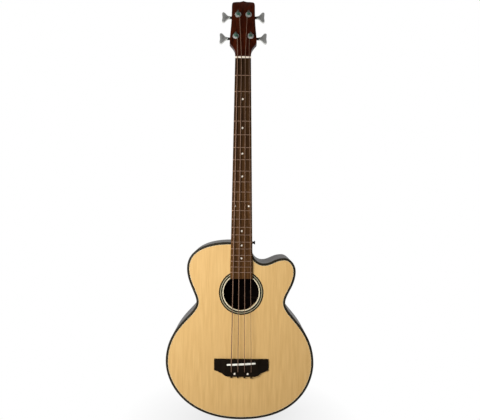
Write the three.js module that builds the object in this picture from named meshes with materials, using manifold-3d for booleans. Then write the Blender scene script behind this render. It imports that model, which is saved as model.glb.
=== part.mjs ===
// Acoustic bass guitar with a cutaway, four strings and a thin dark binding.
//
// The guitar is drawn lying on its back on a bench, in millimetres: x runs across,
// with the treble side positive, y runs along the strings towards the head, and z
// points out of the soundboard. y is zero at the fretboard's end by the nut, and z is
// zero on the soundboard's face. The last group stands the guitar up on its tail.

import * as THREE from 'three';
import { mergeVertices } from 'three/addons/utils/BufferGeometryUtils.js';
import Module from 'manifold-3d';

const wasm = await Module();
wasm.setup();

// Clearances and overruns shared by all pieces
const seatGap = 0.3;
const runningGap = 0.35;
const cutOverrun = 5;
const weldDistance = 0.0001;

// Scale and strings
const scaleLength = 863.6;
const fretCount = 21;
const bodyFret = 16;
const semitonesPerOctave = 12;
const stringSpreadAtNut = 32.6;
const stringShiftAtNut = 0.8;
const stringSpreadAtSaddle = 56.1;
const boardArchRadius = 406;

// Body outline: half widths and the distance of each station from the nut
const neckJoint = { bassFlat: 26, wall: 31, wallEnd: 545, top: 522 };
const upperBout = {
  bassHalf: 155.2, trebleHalf: 155.2, bassAt: 597.6, trebleAt: 605, topPull: 83.6, waistPull: 39.9,
};
const waist = { bassHalf: 127.4, trebleHalf: 125.9, at: 693.6, upperPull: 22.7, lowerPull: 37 };
const lowerBout = {
  bassHalf: 214, trebleHalf: 207.8, bassAt: 862.7, trebleAt: 866.9, waistPull: 101.2, bassTailPull: 66.8,
  trebleTailPull: 51.2,
};
const tail = { at: 1027, bassPull: 153, treblePull: 171.9 };
const cutaway = { dipX: 63.9, dipAt: 582.2, wallPull: 24.8, dipPullIn: 15.4, dipPullOut: 21.3 };
const horn = { crestX: 124.1, crestAt: 566.3, innerPull: 29.3, outerPull: 13.7, sidePull: 23.1 };
const facetLength = 27;
const leastFacets = 4;
const bridgeDivisions = 5;
const heelDivisions = 6;
const headDivisions = 4;

// Body shell
const depthAtNeck = 100;
const depthAtTail = 118;
const topThickness = 3.2;
const backThickness = 3;
const sideThickness = 2.5;
const bindingWidth = 6.6;
const bindingHeight = 6;
const liningFoot = 1.6;
const liningWidth = 7;
const liningHeight = 15;

// Soundhole and rosette
const soundhole = { at: 665.3, radius: 50.5, divisions: 36 };
const rosetteSize = { outerRadius: 63.6, depth: 1.2 };

// Blocks inside the body
const neckBlockLength = 52;
const tailBlockLength = 18;
const tailBlockWidth = 84;
const tongue = { length: 17, rootHalf: 9, tipHalf: 12.5, bottom: 78 };

// Braces
const brace = { width: 8, height: 15, tipHeight: 4, tipShare: 0.22 };
const xBrace = { crossAt: 739, angle: 49, upperLength: 184, lowerLength: 238 };
const toneBar = { width: 6, height: 12, length: 170, angle: 18, firstAt: 934, pitch: 32, shift: 6 };
const transverse = { width: 9, height: 17, at: 607, length: 274 };
const bridgePlateSize = { length: 150, width: 44, thickness: 2.5 };
const backBrace = { width: 8, height: 13, endGap: 1.5 };
const backBraceShares = [0.182, 0.352, 0.574, 0.792];
const backStripSize = { width: 16, thickness: 2 };

// Fretboard
const board = { nutWidth: 45.2, endWidth: 63.7, length: 625, thickness: 7, edgeThickness: 6 };
const fret = { width: 2.6, crownWidth: 1.1, height: 1.1, endInset: 0.6 };

// Nut and saddle
const nutSize = { thickness: 6, height: 10, slotDepth: 1.3 };
const actionAtNut = 1.7;
const saddleSize = { length: 81.8, width: 4.8, seatDepth: 5, cornerSteps: 5 };
const saddleSlant = 3.2;
const saddleSetback = 2.3;
const stringHeightAtSaddle = 13;

// Bridge
const bridgeSize = {
  halfLength: 77.2, front: 854, wingBack: 886.2, bellyBack: 901.8, bellyHalf: 36, bellyShoulder: 46,
  scoopHalf: 61, height: 9.5, wingHeight: 4.2, wingStart: 47, scoopEnd: 58, edge: 1.2, shoulderDrop: 3.6,
};
const boltCap = { radius: 2.9, thickness: 2.2, spread: 37, at: 893.4, proud: 0.4 };
const ballEnd = { radius: 2.9, length: 4.5, clearance: 0.4 };
// How far the bridge sits towards the treble side, and where the strings have sunk into it
const bridgeOffset = 1.6;
const stringMouth = 888;

// Neck, heel and headstock
const neckSize = { depthAtNut: 15, depthAtHeel: 17.5, endWidth: 61, edge: 1.5, heelStart: 445 };
const heel = { depth: 92, capLength: 13, capHalf: 13, pull: 52, rise: 46, cornerPower: 3.2, capThickness: 2.5 };
const trussRod = { radius: 3, start: 12, end: 500, channel: 9.5, seat: 1 };
const headTilt = 14;
const headSize = {
  thickness: 15.5, veneer: 2, peak: 191.5, shoulder: 187.8, corner: 182.6, cornerHalf: 31.2, topHalf: 34.1,
  topAt: 172, wideHalf: 39, wideAt: 46.5, ogeeHalf: 31.8, ogeeAt: 38, throatHalf: 23.2, throatAt: 16,
  peakHalf: 14, peakWaist: 7.5, footHalf: 22.6,
};

// Tuners: places on the headstock, measured from the nut's head side along the face
const tunerRows = { lowerAt: 69.7, lowerHalf: 21.4, upperAt: 143.1, upperHalf: 15.6 };
const tunerPost = { radius: 3.2, top: 15, slotWidth: 2.8, slotDepth: 5, crown: 0.8 };
const bushing = { sleeveRadius: 5, sleeveLength: 9, washerRadius: 9.25, washer: 1.3, nutRadius: 6.2, nut: 2.6 };
const gearing = {
  module: 0.7, teeth: 14, wormRadius: 2.9, wormTurns: 3, wheelWidth: 4, wheelAddendum: 0.5,
  wheelDedendum: 0.85, wormAddendum: 0.6, wormDedendum: 0.75,
};
const toothShares = { tipHalf: 0.09, rootHalf: 0.23 };
const threadShares = { crestHalf: 0.13, rootHalf: 0.32 };
const wormColumns = 12;
const wormRowsPerTurn = 6;
const housing = { wall: 2, depth: 13.5, room: 0.8, wheelLevel: 6.5, bossRadius: 4.4, bossLength: 9.5, floor: 1.6 };
const shaft = { radius: 2.1, pinRadius: 1.5, pinLength: 1.2, ferruleRadius: 3.9, ferruleLength: 3.4 };
const key = { reach: 48.4, length: 22.8, halfHeight: 17.8, thickness: 6, bevel: 1.2, stemHalf: 4.4, waist: 1.8 };
const keyOutlineShares = [
  [0.38, 0.2, 0.52, 0.99, 0.8, 1],
  [0.93, 1, 1, 0.88, 1, 0.74],
  [1, 0.48, 0.95, 0.22, 0.95, 0],
];

// Strap button and end pin
const strapButton = { baseRadius: 4.2, waistRadius: 3.4, flareRadius: 5.8, length: 9.6, rim: 1.4, at: 527.5, below: 58 };
const endPin = { shankRadius: 4, shankLength: 15, headRadius: 7.5, headLength: 9, waistRadius: 5, rim: 2, bore: 2.5 };

// Strings in order from the bass side, each with its gauge, its post and the turns on it
const gauges = { E: 2.6, A: 2.1, D: 1.7, G: 1.3 };
const strings = [
  { name: 'E', gauge: gauges.E, row: 'lower', side: -1, turns: 2 },
  { name: 'A', gauge: gauges.A, row: 'upper', side: -1, turns: 2 },
  { name: 'D', gauge: gauges.D, row: 'upper', side: 1, turns: 3 },
  { name: 'G', gauge: gauges.G, row: 'lower', side: 1, turns: 3 },
];
const winding = { firstTurn: 1, turnGap: 0.7, stepsPerTurn: 24, sides: 6 };
const coreShare = 0.75;
const stringSides = 8;

// Colours
const finish = {
  spruce: new THREE.MeshStandardMaterial({ color: 0xd9b074, roughness: 0.35, metalness: 0 }),
  innerSpruce: new THREE.MeshStandardMaterial({ color: 0xd8bd8c, roughness: 0.8, metalness: 0 }),
  darkGloss: new THREE.MeshStandardMaterial({ color: 0x17130f, roughness: 0.2, metalness: 0 }),
  mahogany: new THREE.MeshStandardMaterial({ color: 0x4a2416, roughness: 0.35, metalness: 0 }),
  cedar: new THREE.MeshStandardMaterial({ color: 0x9a6a44, roughness: 0.85, metalness: 0 }),
  rosewood: new THREE.MeshStandardMaterial({ color: 0x2a1713, roughness: 0.45, metalness: 0 }),
  brownBoard: new THREE.MeshStandardMaterial({ color: 0x4d3222, roughness: 0.5, metalness: 0 }),
  ebony: new THREE.MeshStandardMaterial({ color: 0x141212, roughness: 0.4, metalness: 0 }),
  binding: new THREE.MeshStandardMaterial({ color: 0x1b1812, roughness: 0.25, metalness: 0 }),
  inlay: new THREE.MeshStandardMaterial({ color: 0xd8c79a, roughness: 0.4, metalness: 0 }),
  bone: new THREE.MeshStandardMaterial({ color: 0xf0e8d4, roughness: 0.35, metalness: 0 }),
  pearl: new THREE.MeshStandardMaterial({ color: 0xe9e6dd, roughness: 0.2, metalness: 0 }),
  chrome: new THREE.MeshStandardMaterial({ color: 0xc9ccce, roughness: 0.15, metalness: 1 }),
  steel: new THREE.MeshStandardMaterial({ color: 0x9a9c9e, roughness: 0.35, metalness: 1 }),
  bronze: new THREE.MeshStandardMaterial({ color: 0xb98a5c, roughness: 0.35, metalness: 1 }),
  silk: new THREE.MeshStandardMaterial({ color: 0x3f7a58, roughness: 0.7, metalness: 0 }),
  plastic: new THREE.MeshStandardMaterial({ color: 0x0d0d0d, roughness: 0.3, metalness: 0 }),
};

const radians = THREE.MathUtils.degToRad;
const tailY = -tail.at;
const topY = -neckJoint.top;
const backSlope = (depthAtTail - depthAtNeck) / (tail.at - neckJoint.top);
const backAngle = Math.atan(backSlope);
const jointY = -fretDistance(bodyFret);

function fretDistance(number) {
  return scaleLength * (1 - 2 ** (-number / semitonesPerOctave));
}

// z of the back's outer face, which falls away towards the tail
function backFace(y) {
  return -depthAtNeck - (topY - y) * backSlope;
}

function boardWidthAt(y) {
  return board.nutWidth + (board.endWidth - board.nutWidth) * (-y / board.length);
}

// Drop of a crowned surface at a distance from the centre line
function archDrop(x) {
  return boardArchRadius - Math.sqrt(boardArchRadius ** 2 - x ** 2);
}

// Makes one closed geometry from points and triangles, with its faces pointing out
function closedGeometry(points, triangles) {
  const a = new THREE.Vector3();
  let volume = 0;
  for (const [i, j, k] of triangles) {
    volume += points[i].dot(a.crossVectors(points[j], points[k]));
  }
  const index = volume < 0 ? triangles.map(([i, j, k]) => [i, k, j]) : triangles;
  const geometry = new THREE.BufferGeometry();
  geometry.setAttribute('position', new THREE.Float32BufferAttribute(points.flatMap((p) => p.toArray()), 3));
  geometry.setIndex(index.flat());
  geometry.computeVertexNormals();
  return geometry;
}

// Triangles that fill one flat ring of points
function capTriangles(ring, first) {
  const normal = new THREE.Vector3();
  ring.forEach((p, i) => {
    const q = ring[(i + 1) % ring.length];
    normal.x += (p.y - q.y) * (p.z + q.z);
    normal.y += (p.z - q.z) * (p.x + q.x);
    normal.z += (p.x - q.x) * (p.y + q.y);
  });
  normal.normalize();
  const across = new THREE.Vector3().subVectors(ring[1], ring[0]).normalize();
  const up = new THREE.Vector3().crossVectors(normal, across);
  const flat = ring.map((p) => new THREE.Vector2(p.dot(across), p.dot(up)));
  return THREE.ShapeUtils.triangulateShape(flat, []).map((t) => t.map((i) => i + first));
}

// Skins a row of rings that have the same number of points, with a cap at each end
function loft(rings, closed = false) {
  const size = rings[0].length;
  const triangles = [];
  const last = closed ? rings.length : rings.length - 1;
  for (let r = 0; r < last; r += 1) {
    const next = (r + 1) % rings.length;
    for (let i = 0; i < size; i += 1) {
      const j = (i + 1) % size;
      const [a, b, c, d] = [r * size + i, r * size + j, next * size + j, next * size + i];
      triangles.push([a, b, c], [a, c, d]);
    }
  }
  if (!closed) {
    triangles.push(...capTriangles(rings[0], 0).map(([i, j, k]) => [i, k, j]));
    triangles.push(...capTriangles(rings.at(-1), size * (rings.length - 1)));
  }
  return closedGeometry(rings.flat(), triangles);
}

// A plate of an outline between two faces, each a height or a function of y
function plate(outline, top, bottom, holes = []) {
  const shape = new THREE.Shape(outline);
  shape.holes = holes.map((hole) => new THREE.Path(hole));
  const geometry = new THREE.ExtrudeGeometry(shape, { depth: 1, bevelEnabled: false });
  const heightAt = (face, y) => (typeof face === 'function' ? face(y) : face);
  const place = geometry.attributes.position;
  for (let i = 0; i < place.count; i += 1) {
    place.setZ(i, heightAt(place.getZ(i) > 0 ? top : bottom, place.getY(i)));
  }
  return geometry;
}

function box(width, length, height) {
  return new THREE.BoxGeometry(width, length, height);
}

function cylinder(radius, length, segments = 20) {
  return new THREE.CylinderGeometry(radius, radius, length, segments);
}

// A turned piece about z, from pairs of radius and height
function turned(pairs, segments) {
  const profile = pairs.map(([r, z]) => new THREE.Vector2(r, z));
  const geometry = new THREE.LatheGeometry(profile, segments);
  geometry.rotateX(Math.PI / 2);
  return geometry;
}

function solidOf(geometry) {
  const bare = geometry.clone();
  bare.deleteAttribute('normal');
  bare.deleteAttribute('uv');
  const merged = mergeVertices(bare, weldDistance);
  const vertProperties = new Float32Array(merged.attributes.position.array);
  const triVerts = new Uint32Array(merged.index.array);
  return new wasm.Manifold(new wasm.Mesh({ numProp: 3, vertProperties, triVerts }));
}

function geometryOf(solid) {
  const mesh = solid.getMesh();
  const geometry = new THREE.BufferGeometry();
  geometry.setAttribute('position', new THREE.BufferAttribute(new Float32Array(mesh.vertProperties), 3));
  geometry.setIndex(new THREE.BufferAttribute(new Uint32Array(mesh.triVerts), 1));
  geometry.computeVertexNormals();
  return geometry;
}

function cut(base, ...tools) {
  return geometryOf(tools.reduce((solid, tool) => solid.subtract(solidOf(tool)), solidOf(base)));
}

function join(base, ...others) {
  return geometryOf(others.reduce((solid, other) => solid.add(solidOf(other)), solidOf(base)));
}

function common(base, other) {
  return geometryOf(solidOf(base).intersect(solidOf(other)));
}

function piece(group, name, geometry, material) {
  const mesh = new THREE.Mesh(geometry, material);
  mesh.name = name;
  group.add(mesh);
  return mesh;
}

// Points along a path, closer together on its short curves than on its long ones
function facetPoints(path) {
  const runs = path.curves.map((curve) => {
    if (curve.isLineCurve) return [curve.v2];
    const count = Math.max(leastFacets, Math.ceil(curve.getLength() / facetLength));
    return curve.getSpacedPoints(count).slice(1);
  });
  return [path.curves[0].getPoint(0), ...runs.flat()];
}

// The bass half of the rim, from the neck's centre line round to the tail's
function bassRim() {
  const path = new THREE.Path();
  path.moveTo(-neckJoint.bassFlat, topY);
  path.bezierCurveTo(
    -neckJoint.bassFlat, topY,
    -upperBout.bassHalf, -upperBout.bassAt + upperBout.topPull,
    -upperBout.bassHalf, -upperBout.bassAt,
  );
  path.bezierCurveTo(
    -upperBout.bassHalf, -upperBout.bassAt - upperBout.waistPull,
    -waist.bassHalf, -waist.at + waist.upperPull,
    -waist.bassHalf, -waist.at,
  );
  path.bezierCurveTo(
    -waist.bassHalf, -waist.at - waist.lowerPull,
    -lowerBout.bassHalf, -lowerBout.bassAt + lowerBout.waistPull,
    -lowerBout.bassHalf, -lowerBout.bassAt,
  );
  path.bezierCurveTo(
    -lowerBout.bassHalf, -lowerBout.bassAt - lowerBout.bassTailPull,
    -tail.bassPull, tailY,
    0, tailY,
  );
  return facetPoints(path);
}

// The treble half of the rim, round the cutaway and its horn
function trebleRim() {
  const path = new THREE.Path();
  path.moveTo(neckJoint.wall, topY);
  path.lineTo(neckJoint.wall, -neckJoint.wallEnd);
  path.bezierCurveTo(
    neckJoint.wall, -neckJoint.wallEnd - cutaway.wallPull,
    cutaway.dipX - cutaway.dipPullIn, -cutaway.dipAt,
    cutaway.dipX, -cutaway.dipAt,
  );
  path.bezierCurveTo(
    cutaway.dipX + cutaway.dipPullOut, -cutaway.dipAt,
    horn.crestX - horn.innerPull, -horn.crestAt,
    horn.crestX, -horn.crestAt,
  );
  path.bezierCurveTo(
    horn.crestX + horn.outerPull, -horn.crestAt,
    upperBout.trebleHalf, -upperBout.trebleAt + horn.sidePull,
    upperBout.trebleHalf, -upperBout.trebleAt,
  );
  path.bezierCurveTo(
    upperBout.trebleHalf, -upperBout.trebleAt - upperBout.waistPull,
    waist.trebleHalf, -waist.at + waist.upperPull,
    waist.trebleHalf, -waist.at,
  );
  path.bezierCurveTo(
    waist.trebleHalf, -waist.at - waist.lowerPull,
    lowerBout.trebleHalf, -lowerBout.trebleAt + lowerBout.waistPull,
    lowerBout.trebleHalf, -lowerBout.trebleAt,
  );
  path.bezierCurveTo(
    lowerBout.trebleHalf, -lowerBout.trebleAt - lowerBout.trebleTailPull,
    tail.treblePull, tailY,
    0, tailY,
  );
  return facetPoints(path);
}

const bassHalf = bassRim();
const trebleHalf = trebleRim();
const trebleInward = [...trebleHalf].reverse();

// The whole outline, anticlockwise from the neck round the bass side
const outline = [...bassHalf, ...trebleHalf.slice(0, -1).reverse()];

// Each corner's inward direction, as long as keeps the offset sides parallel
function mitres(points, closed) {
  return points.map((p, i) => {
    const before = points[i - 1] ?? (closed ? points.at(-1) : null);
    const after = points[i + 1] ?? (closed ? points[0] : null);
    const sides = [before && [before, p], after && [p, after]].filter(Boolean);
    const normals = sides.map(([a, b]) => new THREE.Vector2(a.y - b.y, b.x - a.x).normalize());
    if (normals.length === 1) return normals[0];
    const sum = normals[0].clone().add(normals[1]);
    return sum.divideScalar(1 + normals[0].dot(normals[1]));
  });
}

function inset(points, distance, closed = true) {
  const inward = mitres(points, closed);
  return points.map((p, i) => p.clone().addScaledVector(inward[i], distance));
}

// Sweeps a profile of pairs of inset and height along a stretch of the rim
function sweepRim(points, profile, closed) {
  const rows = profile.map(([distance, height]) =>
    inset(points, distance, closed).map((p) => new THREE.Vector3(p.x, p.y, height(p.y))));
  const rings = points.map((_, i) => rows.map((row) => row[i]));
  return loft(rings, closed);
}

// The stretch of one rim half that lies between two distances from the nut and past a half width
function stretch(points, test) {
  return points.filter(test);
}

const at = (height) => () => height;
const aboveBack = (height) => (y) => backFace(y) + height;
const underTop = -topThickness;
const overBack = (y) => backFace(y) + backThickness;

function circle(radius, x, y, divisions) {
  return new THREE.Path().absarc(x, y, radius, 0, Math.PI * 2, false).getPoints(divisions).slice(0, -1);
}

// The two bindings, or the room that they need when grown by a clearance
function bindings(grow) {
  const [outer, inner] = [-grow, bindingWidth + grow];
  const top = [at(grow), at(-bindingHeight - grow)];
  const back = [aboveBack(-grow), aboveBack(bindingHeight + grow)];
  const ring = ([low, high]) => [[outer, low], [inner, low], [inner, high], [outer, high]];
  return { top: sweepRim(outline, ring(top), true), back: sweepRim(outline, ring(back), true) };
}

function buildShell(group) {
  const boardEdge = inset(outline, bindingWidth + seatGap);
  const hole = circle(soundhole.radius, 0, -soundhole.at, soundhole.divisions);
  const step = circle(rosetteSize.outerRadius + seatGap, 0, -soundhole.at, soundhole.divisions);
  const soundboard = cut(
    plate(boardEdge, 0, underTop, [hole]),
    plate(step, cutOverrun, -rosetteSize.depth),
  );
  piece(group, 'soundboard', soundboard, finish.spruce);

  const ring = circle(rosetteSize.outerRadius, 0, -soundhole.at, soundhole.divisions);
  piece(group, 'rosette', plate(ring, 0, -rosetteSize.depth, [hole]), finish.inlay);

  piece(group, 'back_plate', plate(boardEdge, overBack, backFace), finish.mahogany);

  const { top, back } = bindings(0);
  piece(group, 'top_binding', top, finish.binding);
  piece(group, 'back_binding', back, finish.binding);

  const sideTop = at(-bindingHeight);
  const sideBottom = aboveBack(bindingHeight + seatGap);
  const sideProfile = [[0, sideTop], [sideThickness, sideTop], [sideThickness, sideBottom], [0, sideBottom]];
  const pinHole = cylinder(endPin.shankRadius + runningGap, cutOverrun * 4);
  pinHole.translate(0, tailY, endPinHeight());
  const ribs = cut(sweepRim(outline, sideProfile, true), pinHole, tonguePlate(seatGap));
  const room = box(tail.at, tail.at * 2, tail.at);
  room.translate((tail.at + seatGap) / 2, -tail.at, 0);
  piece(group, 'side_treble', common(ribs, room), finish.darkGloss);
  room.translate(-tail.at - seatGap, 0, 0);
  piece(group, 'side_bass', common(ribs, room), finish.darkGloss);
}

// Height of the end pin, half way between the soundboard and the back
function endPinHeight() {
  return backFace(tailY) / 2;
}

function buildLinings(group) {
  const inner = sideThickness + seatGap;
  const overBinding = bindingWidth + seatGap;
  const profile = (face, away) => [
    [overBinding, face], [inner + liningWidth, face],
    [inner + liningFoot, away(liningHeight)], [inner, away(liningHeight)],
    [inner, away(bindingHeight + seatGap)], [overBinding, away(bindingHeight + seatGap)],
  ];
  const topProfile = profile(at(underTop), (depth) => at(-depth));
  const backProfile = profile(aboveBack(backThickness + seatGap), (height) => aboveBack(height));
  const blockEdge = neckJoint.wall + inner + liningWidth;
  const tailEdge = tailBlockWidth / 2 + seatGap;
  const isFree = (p) => Math.abs(p.x) > (p.y > -waist.at ? blockEdge : tailEdge);
  const halves = { bass: stretch(bassHalf, isFree), treble: stretch(trebleHalf, isFree).reverse() };
  for (const [name, points] of Object.entries(halves)) {
    piece(group, `top_lining_${name}`, sweepRim(points, topProfile, false), finish.cedar);
    piece(group, `back_lining_${name}`, sweepRim(points, backProfile, false), finish.cedar);
  }
}

// The dovetail tongue below the neck's heel, or its socket when grown by a clearance
function tonguePlate(grow) {
  const root = jointY + tongue.length / 2;
  const tip = jointY - tongue.length;
  const outlineOfTongue = [
    new THREE.Vector2(-tongue.rootHalf - grow, root), new THREE.Vector2(-tongue.tipHalf - grow, tip - grow),
    new THREE.Vector2(tongue.tipHalf + grow, tip - grow), new THREE.Vector2(tongue.rootHalf + grow, root),
  ];
  return plate(outlineOfTongue, grow ? cutOverrun : -bindingHeight - seatGap, -tongue.bottom - grow);
}

function rectangle(half, low, high) {
  return [[-half, low], [half, low], [half, high], [-half, high]].map(([x, y]) => new THREE.Vector2(x, y));
}

function buildBlocks(group) {
  const inner = sideThickness + seatGap;
  const half = neckJoint.wall - inner;
  const blockTop = topY - inner;
  const blockEnd = blockTop - neckBlockLength;
  const block = plate(rectangle(half, blockEnd, blockTop), underTop, (y) => overBack(y) + seatGap);
  const corner = plate(inset(outline, inner), cutOverrun, (y) => backFace(y) - cutOverrun);
  const ledges = bindings(seatGap);
  const neckBlock = cut(common(block, corner), tonguePlate(seatGap), ledges.top, ledges.back);
  piece(group, 'neck_block', neckBlock, finish.cedar);

  const tailTop = tailY + inner + tailBlockLength;
  const pinHole = cylinder(endPin.shankRadius + runningGap, tailBlockLength * 4);
  pinHole.translate(0, tailY, endPinHeight());
  const tailOutline = rectangle(tailBlockWidth / 2, tailY - cutOverrun, tailTop);
  const tailBlock = plate(tailOutline, underTop, (y) => overBack(y) + seatGap);
  piece(group, 'tail_block', cut(common(tailBlock, corner), pinHole, ledges.top, ledges.back), finish.cedar);
}

// A bar that tapers off at both ends, drawn along x with its glued face at z zero
function taperedBar(left, right, size) {
  const run = (left + right) * brace.tipShare;
  const tip = Math.min(brace.tipHeight, size.height);
  const profile = [
    [-left, 0], [right, 0], [right, -tip], [right - run / 2, -tip - (size.height - tip) * 0.4],
    [right - run, -size.height], [-left + run, -size.height], [-left + run / 2, -tip - (size.height - tip) * 0.4],
    [-left, -tip],
  ];
  const shape = new THREE.Shape(profile.map(([x, z]) => new THREE.Vector2(x, z)));
  const geometry = new THREE.ExtrudeGeometry(shape, { depth: size.width, bevelEnabled: false });
  geometry.rotateX(Math.PI / 2);
  geometry.translate(0, size.width / 2, 0);
  return geometry;
}

function buildTopBraces(group) {
  const legs = new THREE.Group();
  legs.position.set(0, -xBrace.crossAt, underTop);
  group.add(legs);
  const lapWidth = brace.width + 2 * seatGap;
  const lap = (from, to) => {
    const notch = box(lapWidth, brace.width + cutOverrun, to - from);
    notch.translate(0, 0, (from + to) / 2);
    return notch;
  };
  const crossing = 2 * xBrace.angle - 90;
  const legOf = (side, notch) => {
    const bar = taperedBar(xBrace.upperLength, xBrace.lowerLength, brace);
    notch.rotateZ(radians(-crossing));
    const leg = cut(bar, notch);
    leg.rotateZ(radians(xBrace.angle - 90));
    if (side < 0) mirrorX(leg);
    return leg;
  };
  const half = -brace.height / 2;
  piece(legs, 'x_brace_treble', legOf(1, lap(half - seatGap / 2, cutOverrun)), finish.innerSpruce);
  piece(legs, 'x_brace_bass', legOf(-1, lap(-brace.height - cutOverrun, half + seatGap / 2)), finish.innerSpruce);

  ['upper', 'lower'].forEach((name, i) => {
    const bar = piece(group, `tone_bar_${name}`, taperedBar(toneBar.length / 2, toneBar.length / 2, toneBar),
      finish.innerSpruce);
    bar.position.set(toneBar.shift * i, -toneBar.firstAt - toneBar.pitch * i, underTop);
    bar.rotation.z = radians(-toneBar.angle);
  });

  const bar = piece(group, 'transverse_brace', taperedBar(transverse.length / 2, transverse.length / 2, transverse),
    finish.innerSpruce);
  bar.position.set(0, -transverse.at, underTop);

  const plateGeometry = box(bridgePlateSize.length, bridgePlateSize.width, bridgePlateSize.thickness);
  const bridgePlate = piece(group, 'bridge_plate', plateGeometry, finish.mahogany);
  const bridgeMiddle = -(bridgeSize.front + bridgeSize.bellyBack) / 2;
  bridgePlate.position.set(0, bridgeMiddle, underTop - bridgePlateSize.thickness / 2);
}

// Mirrors a geometry in the centre plane and turns its faces out again
function mirrorX(geometry) {
  geometry.scale(-1, 1, 1);
  const index = geometry.index.array;
  for (let i = 0; i < index.length; i += 3) {
    [index[i], index[i + 1]] = [index[i + 1], index[i]];
  }
  geometry.computeVertexNormals();
}

// Half width of the room between the linings on one side, over the width of a brace
function roomBeside(rimHalf, y) {
  const reach = backBrace.width / 2 + seatGap;
  const lining = inset(rimHalf, sideThickness + seatGap + liningWidth, false);
  const widths = [y - reach, y, y + reach].map((level) => {
    const crossings = lining.slice(1).flatMap((p, i) => {
      const q = lining[i];
      if ((p.y - level) * (q.y - level) > 0 || p.y === q.y) return [];
      return [Math.abs(q.x + ((p.x - q.x) * (level - q.y)) / (p.y - q.y))];
    });
    return Math.max(...crossings);
  });
  return Math.min(...widths) - backBrace.endGap;
}

function buildBackBraces(group) {
  const inside = new THREE.Group();
  inside.position.set(0, topY, backFace(topY) + backThickness / Math.cos(backAngle) + seatGap);
  inside.rotation.x = backAngle;
  group.add(inside);
  const along = (distance) => -(distance - neckJoint.top) / Math.cos(backAngle);
  const notch = box(backStripSize.width + 2 * seatGap, backBrace.width + cutOverrun,
    (backStripSize.thickness + seatGap) * 2);
  backBraceShares.forEach((share, i) => {
    const station = neckJoint.top + share * (tail.at - neckJoint.top);
    const bar = taperedBar(roomBeside(trebleInward, -station), roomBeside(bassHalf, -station), backBrace);
    bar.rotateY(Math.PI);
    const node = piece(inside, `back_brace_${i + 1}`, cut(bar, notch), finish.innerSpruce);
    node.position.set(0, along(station), 0);
  });
  const start = along(neckJoint.top + sideThickness + neckBlockLength + 2 * seatGap);
  const end = along(tail.at - sideThickness - tailBlockLength - 2 * seatGap);
  const strip = box(backStripSize.width, start - end, backStripSize.thickness);
  const node = piece(inside, 'back_strip', strip, finish.innerSpruce);
  node.position.set(0, (start + end) / 2, backStripSize.thickness / 2);
}

// A cross section of the fretboard: a crowned face, thinner edges and a flat base
function boardSection(y, lift) {
  const half = boardWidthAt(y) / 2;
  const liftedHalf = half - (lift > 0 ? fret.endInset : 0);
  const crown = [-1, 0, 1].map((share) => {
    const x = share * (lift > 0 ? liftedHalf : half);
    return new THREE.Vector3(x, y, board.thickness - archDrop(x) + lift);
  });
  return [new THREE.Vector3(-half, y, 0), ...crown, new THREE.Vector3(half, y, 0)];
}

function buildFretboard(group) {
  const rings = [boardSection(0, 0)];
  for (let number = 1; number <= fretCount; number += 1) {
    const y = -fretDistance(number);
    if (y - fret.width < -board.length) break;
    rings.push(boardSection(y + fret.width / 2, 0));
    rings.push(boardSection(y + fret.crownWidth / 2, fret.height));
    rings.push(boardSection(y - fret.crownWidth / 2, fret.height));
    rings.push(boardSection(y - fret.width / 2, 0));
  }
  rings.push(boardSection(-board.length, 0));
  piece(group, 'fretboard', loft(rings), finish.brownBoard);
}

// A place between nut and saddle for each string, by its number from the bass side
function stringX(number, spread) {
  return spread * (number / (strings.length - 1) - 0.5);
}

const nutFloor = board.thickness + actionAtNut;

function nutX(number) {
  return stringX(number, stringSpreadAtNut) + stringShiftAtNut;
}

function buildNut(group) {
  const half = board.nutWidth / 2;
  const points = [new THREE.Vector2(half, 0)];
  const top = (x) => nutSize.height - archDrop(x);
  points.push(new THREE.Vector2(half, top(half)));
  for (let i = strings.length - 1; i >= 0; i -= 1) {
    const x = nutX(i);
    const slotHalf = strings[i].gauge / 2 + seatGap;
    const floor = nutFloor - archDrop(x) - seatGap;
    points.push(new THREE.Vector2(x + slotHalf, top(x)), new THREE.Vector2(x + slotHalf, floor + slotHalf / 2));
    points.push(new THREE.Vector2(x + slotHalf / 2, floor), new THREE.Vector2(x - slotHalf / 2, floor));
    points.push(new THREE.Vector2(x - slotHalf, floor + slotHalf / 2), new THREE.Vector2(x - slotHalf, top(x)));
  }
  points.push(new THREE.Vector2(-half, top(half)), new THREE.Vector2(-half, 0));
  const geometry = new THREE.ExtrudeGeometry(new THREE.Shape(points), {
    depth: nutSize.thickness, bevelEnabled: false,
  });
  geometry.rotateX(Math.PI / 2);
  geometry.translate(0, nutSize.thickness, 0);
  piece(group, 'nut', geometry, finish.bone);
}

const saddleY = -scaleLength - saddleSetback;

function saddleLineY(x) {
  return saddleY + x * Math.tan(radians(saddleSlant));
}

// Where each string crosses the saddle and how it runs on to its ball end, across the bridge
function stringTail(number) {
  const { gauge } = strings[number];
  const x = stringX(number, stringSpreadAtSaddle);
  const y = saddleLineY(x) - saddleSize.width / 2;
  const z = stringHeightAtSaddle - archDrop(x) + gauge / 2;
  const slope = (z - bridgeSize.height + gauge / 2) / (y + stringMouth);
  const endY = -bridgeSize.bellyBack - ballEnd.clearance - ballEnd.radius;
  return { x, y, z, slope, endY, endZ: z + (endY - y) * slope };
}

function stadium(length, width, steps) {
  const half = length / 2 - width / 2;
  const shape = new THREE.Path();
  shape.absarc(half, 0, width / 2, -Math.PI / 2, Math.PI / 2, false);
  shape.absarc(-half, 0, width / 2, Math.PI / 2, Math.PI * 1.5, false);
  return shape.getPoints(steps).slice(0, -1);
}

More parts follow.
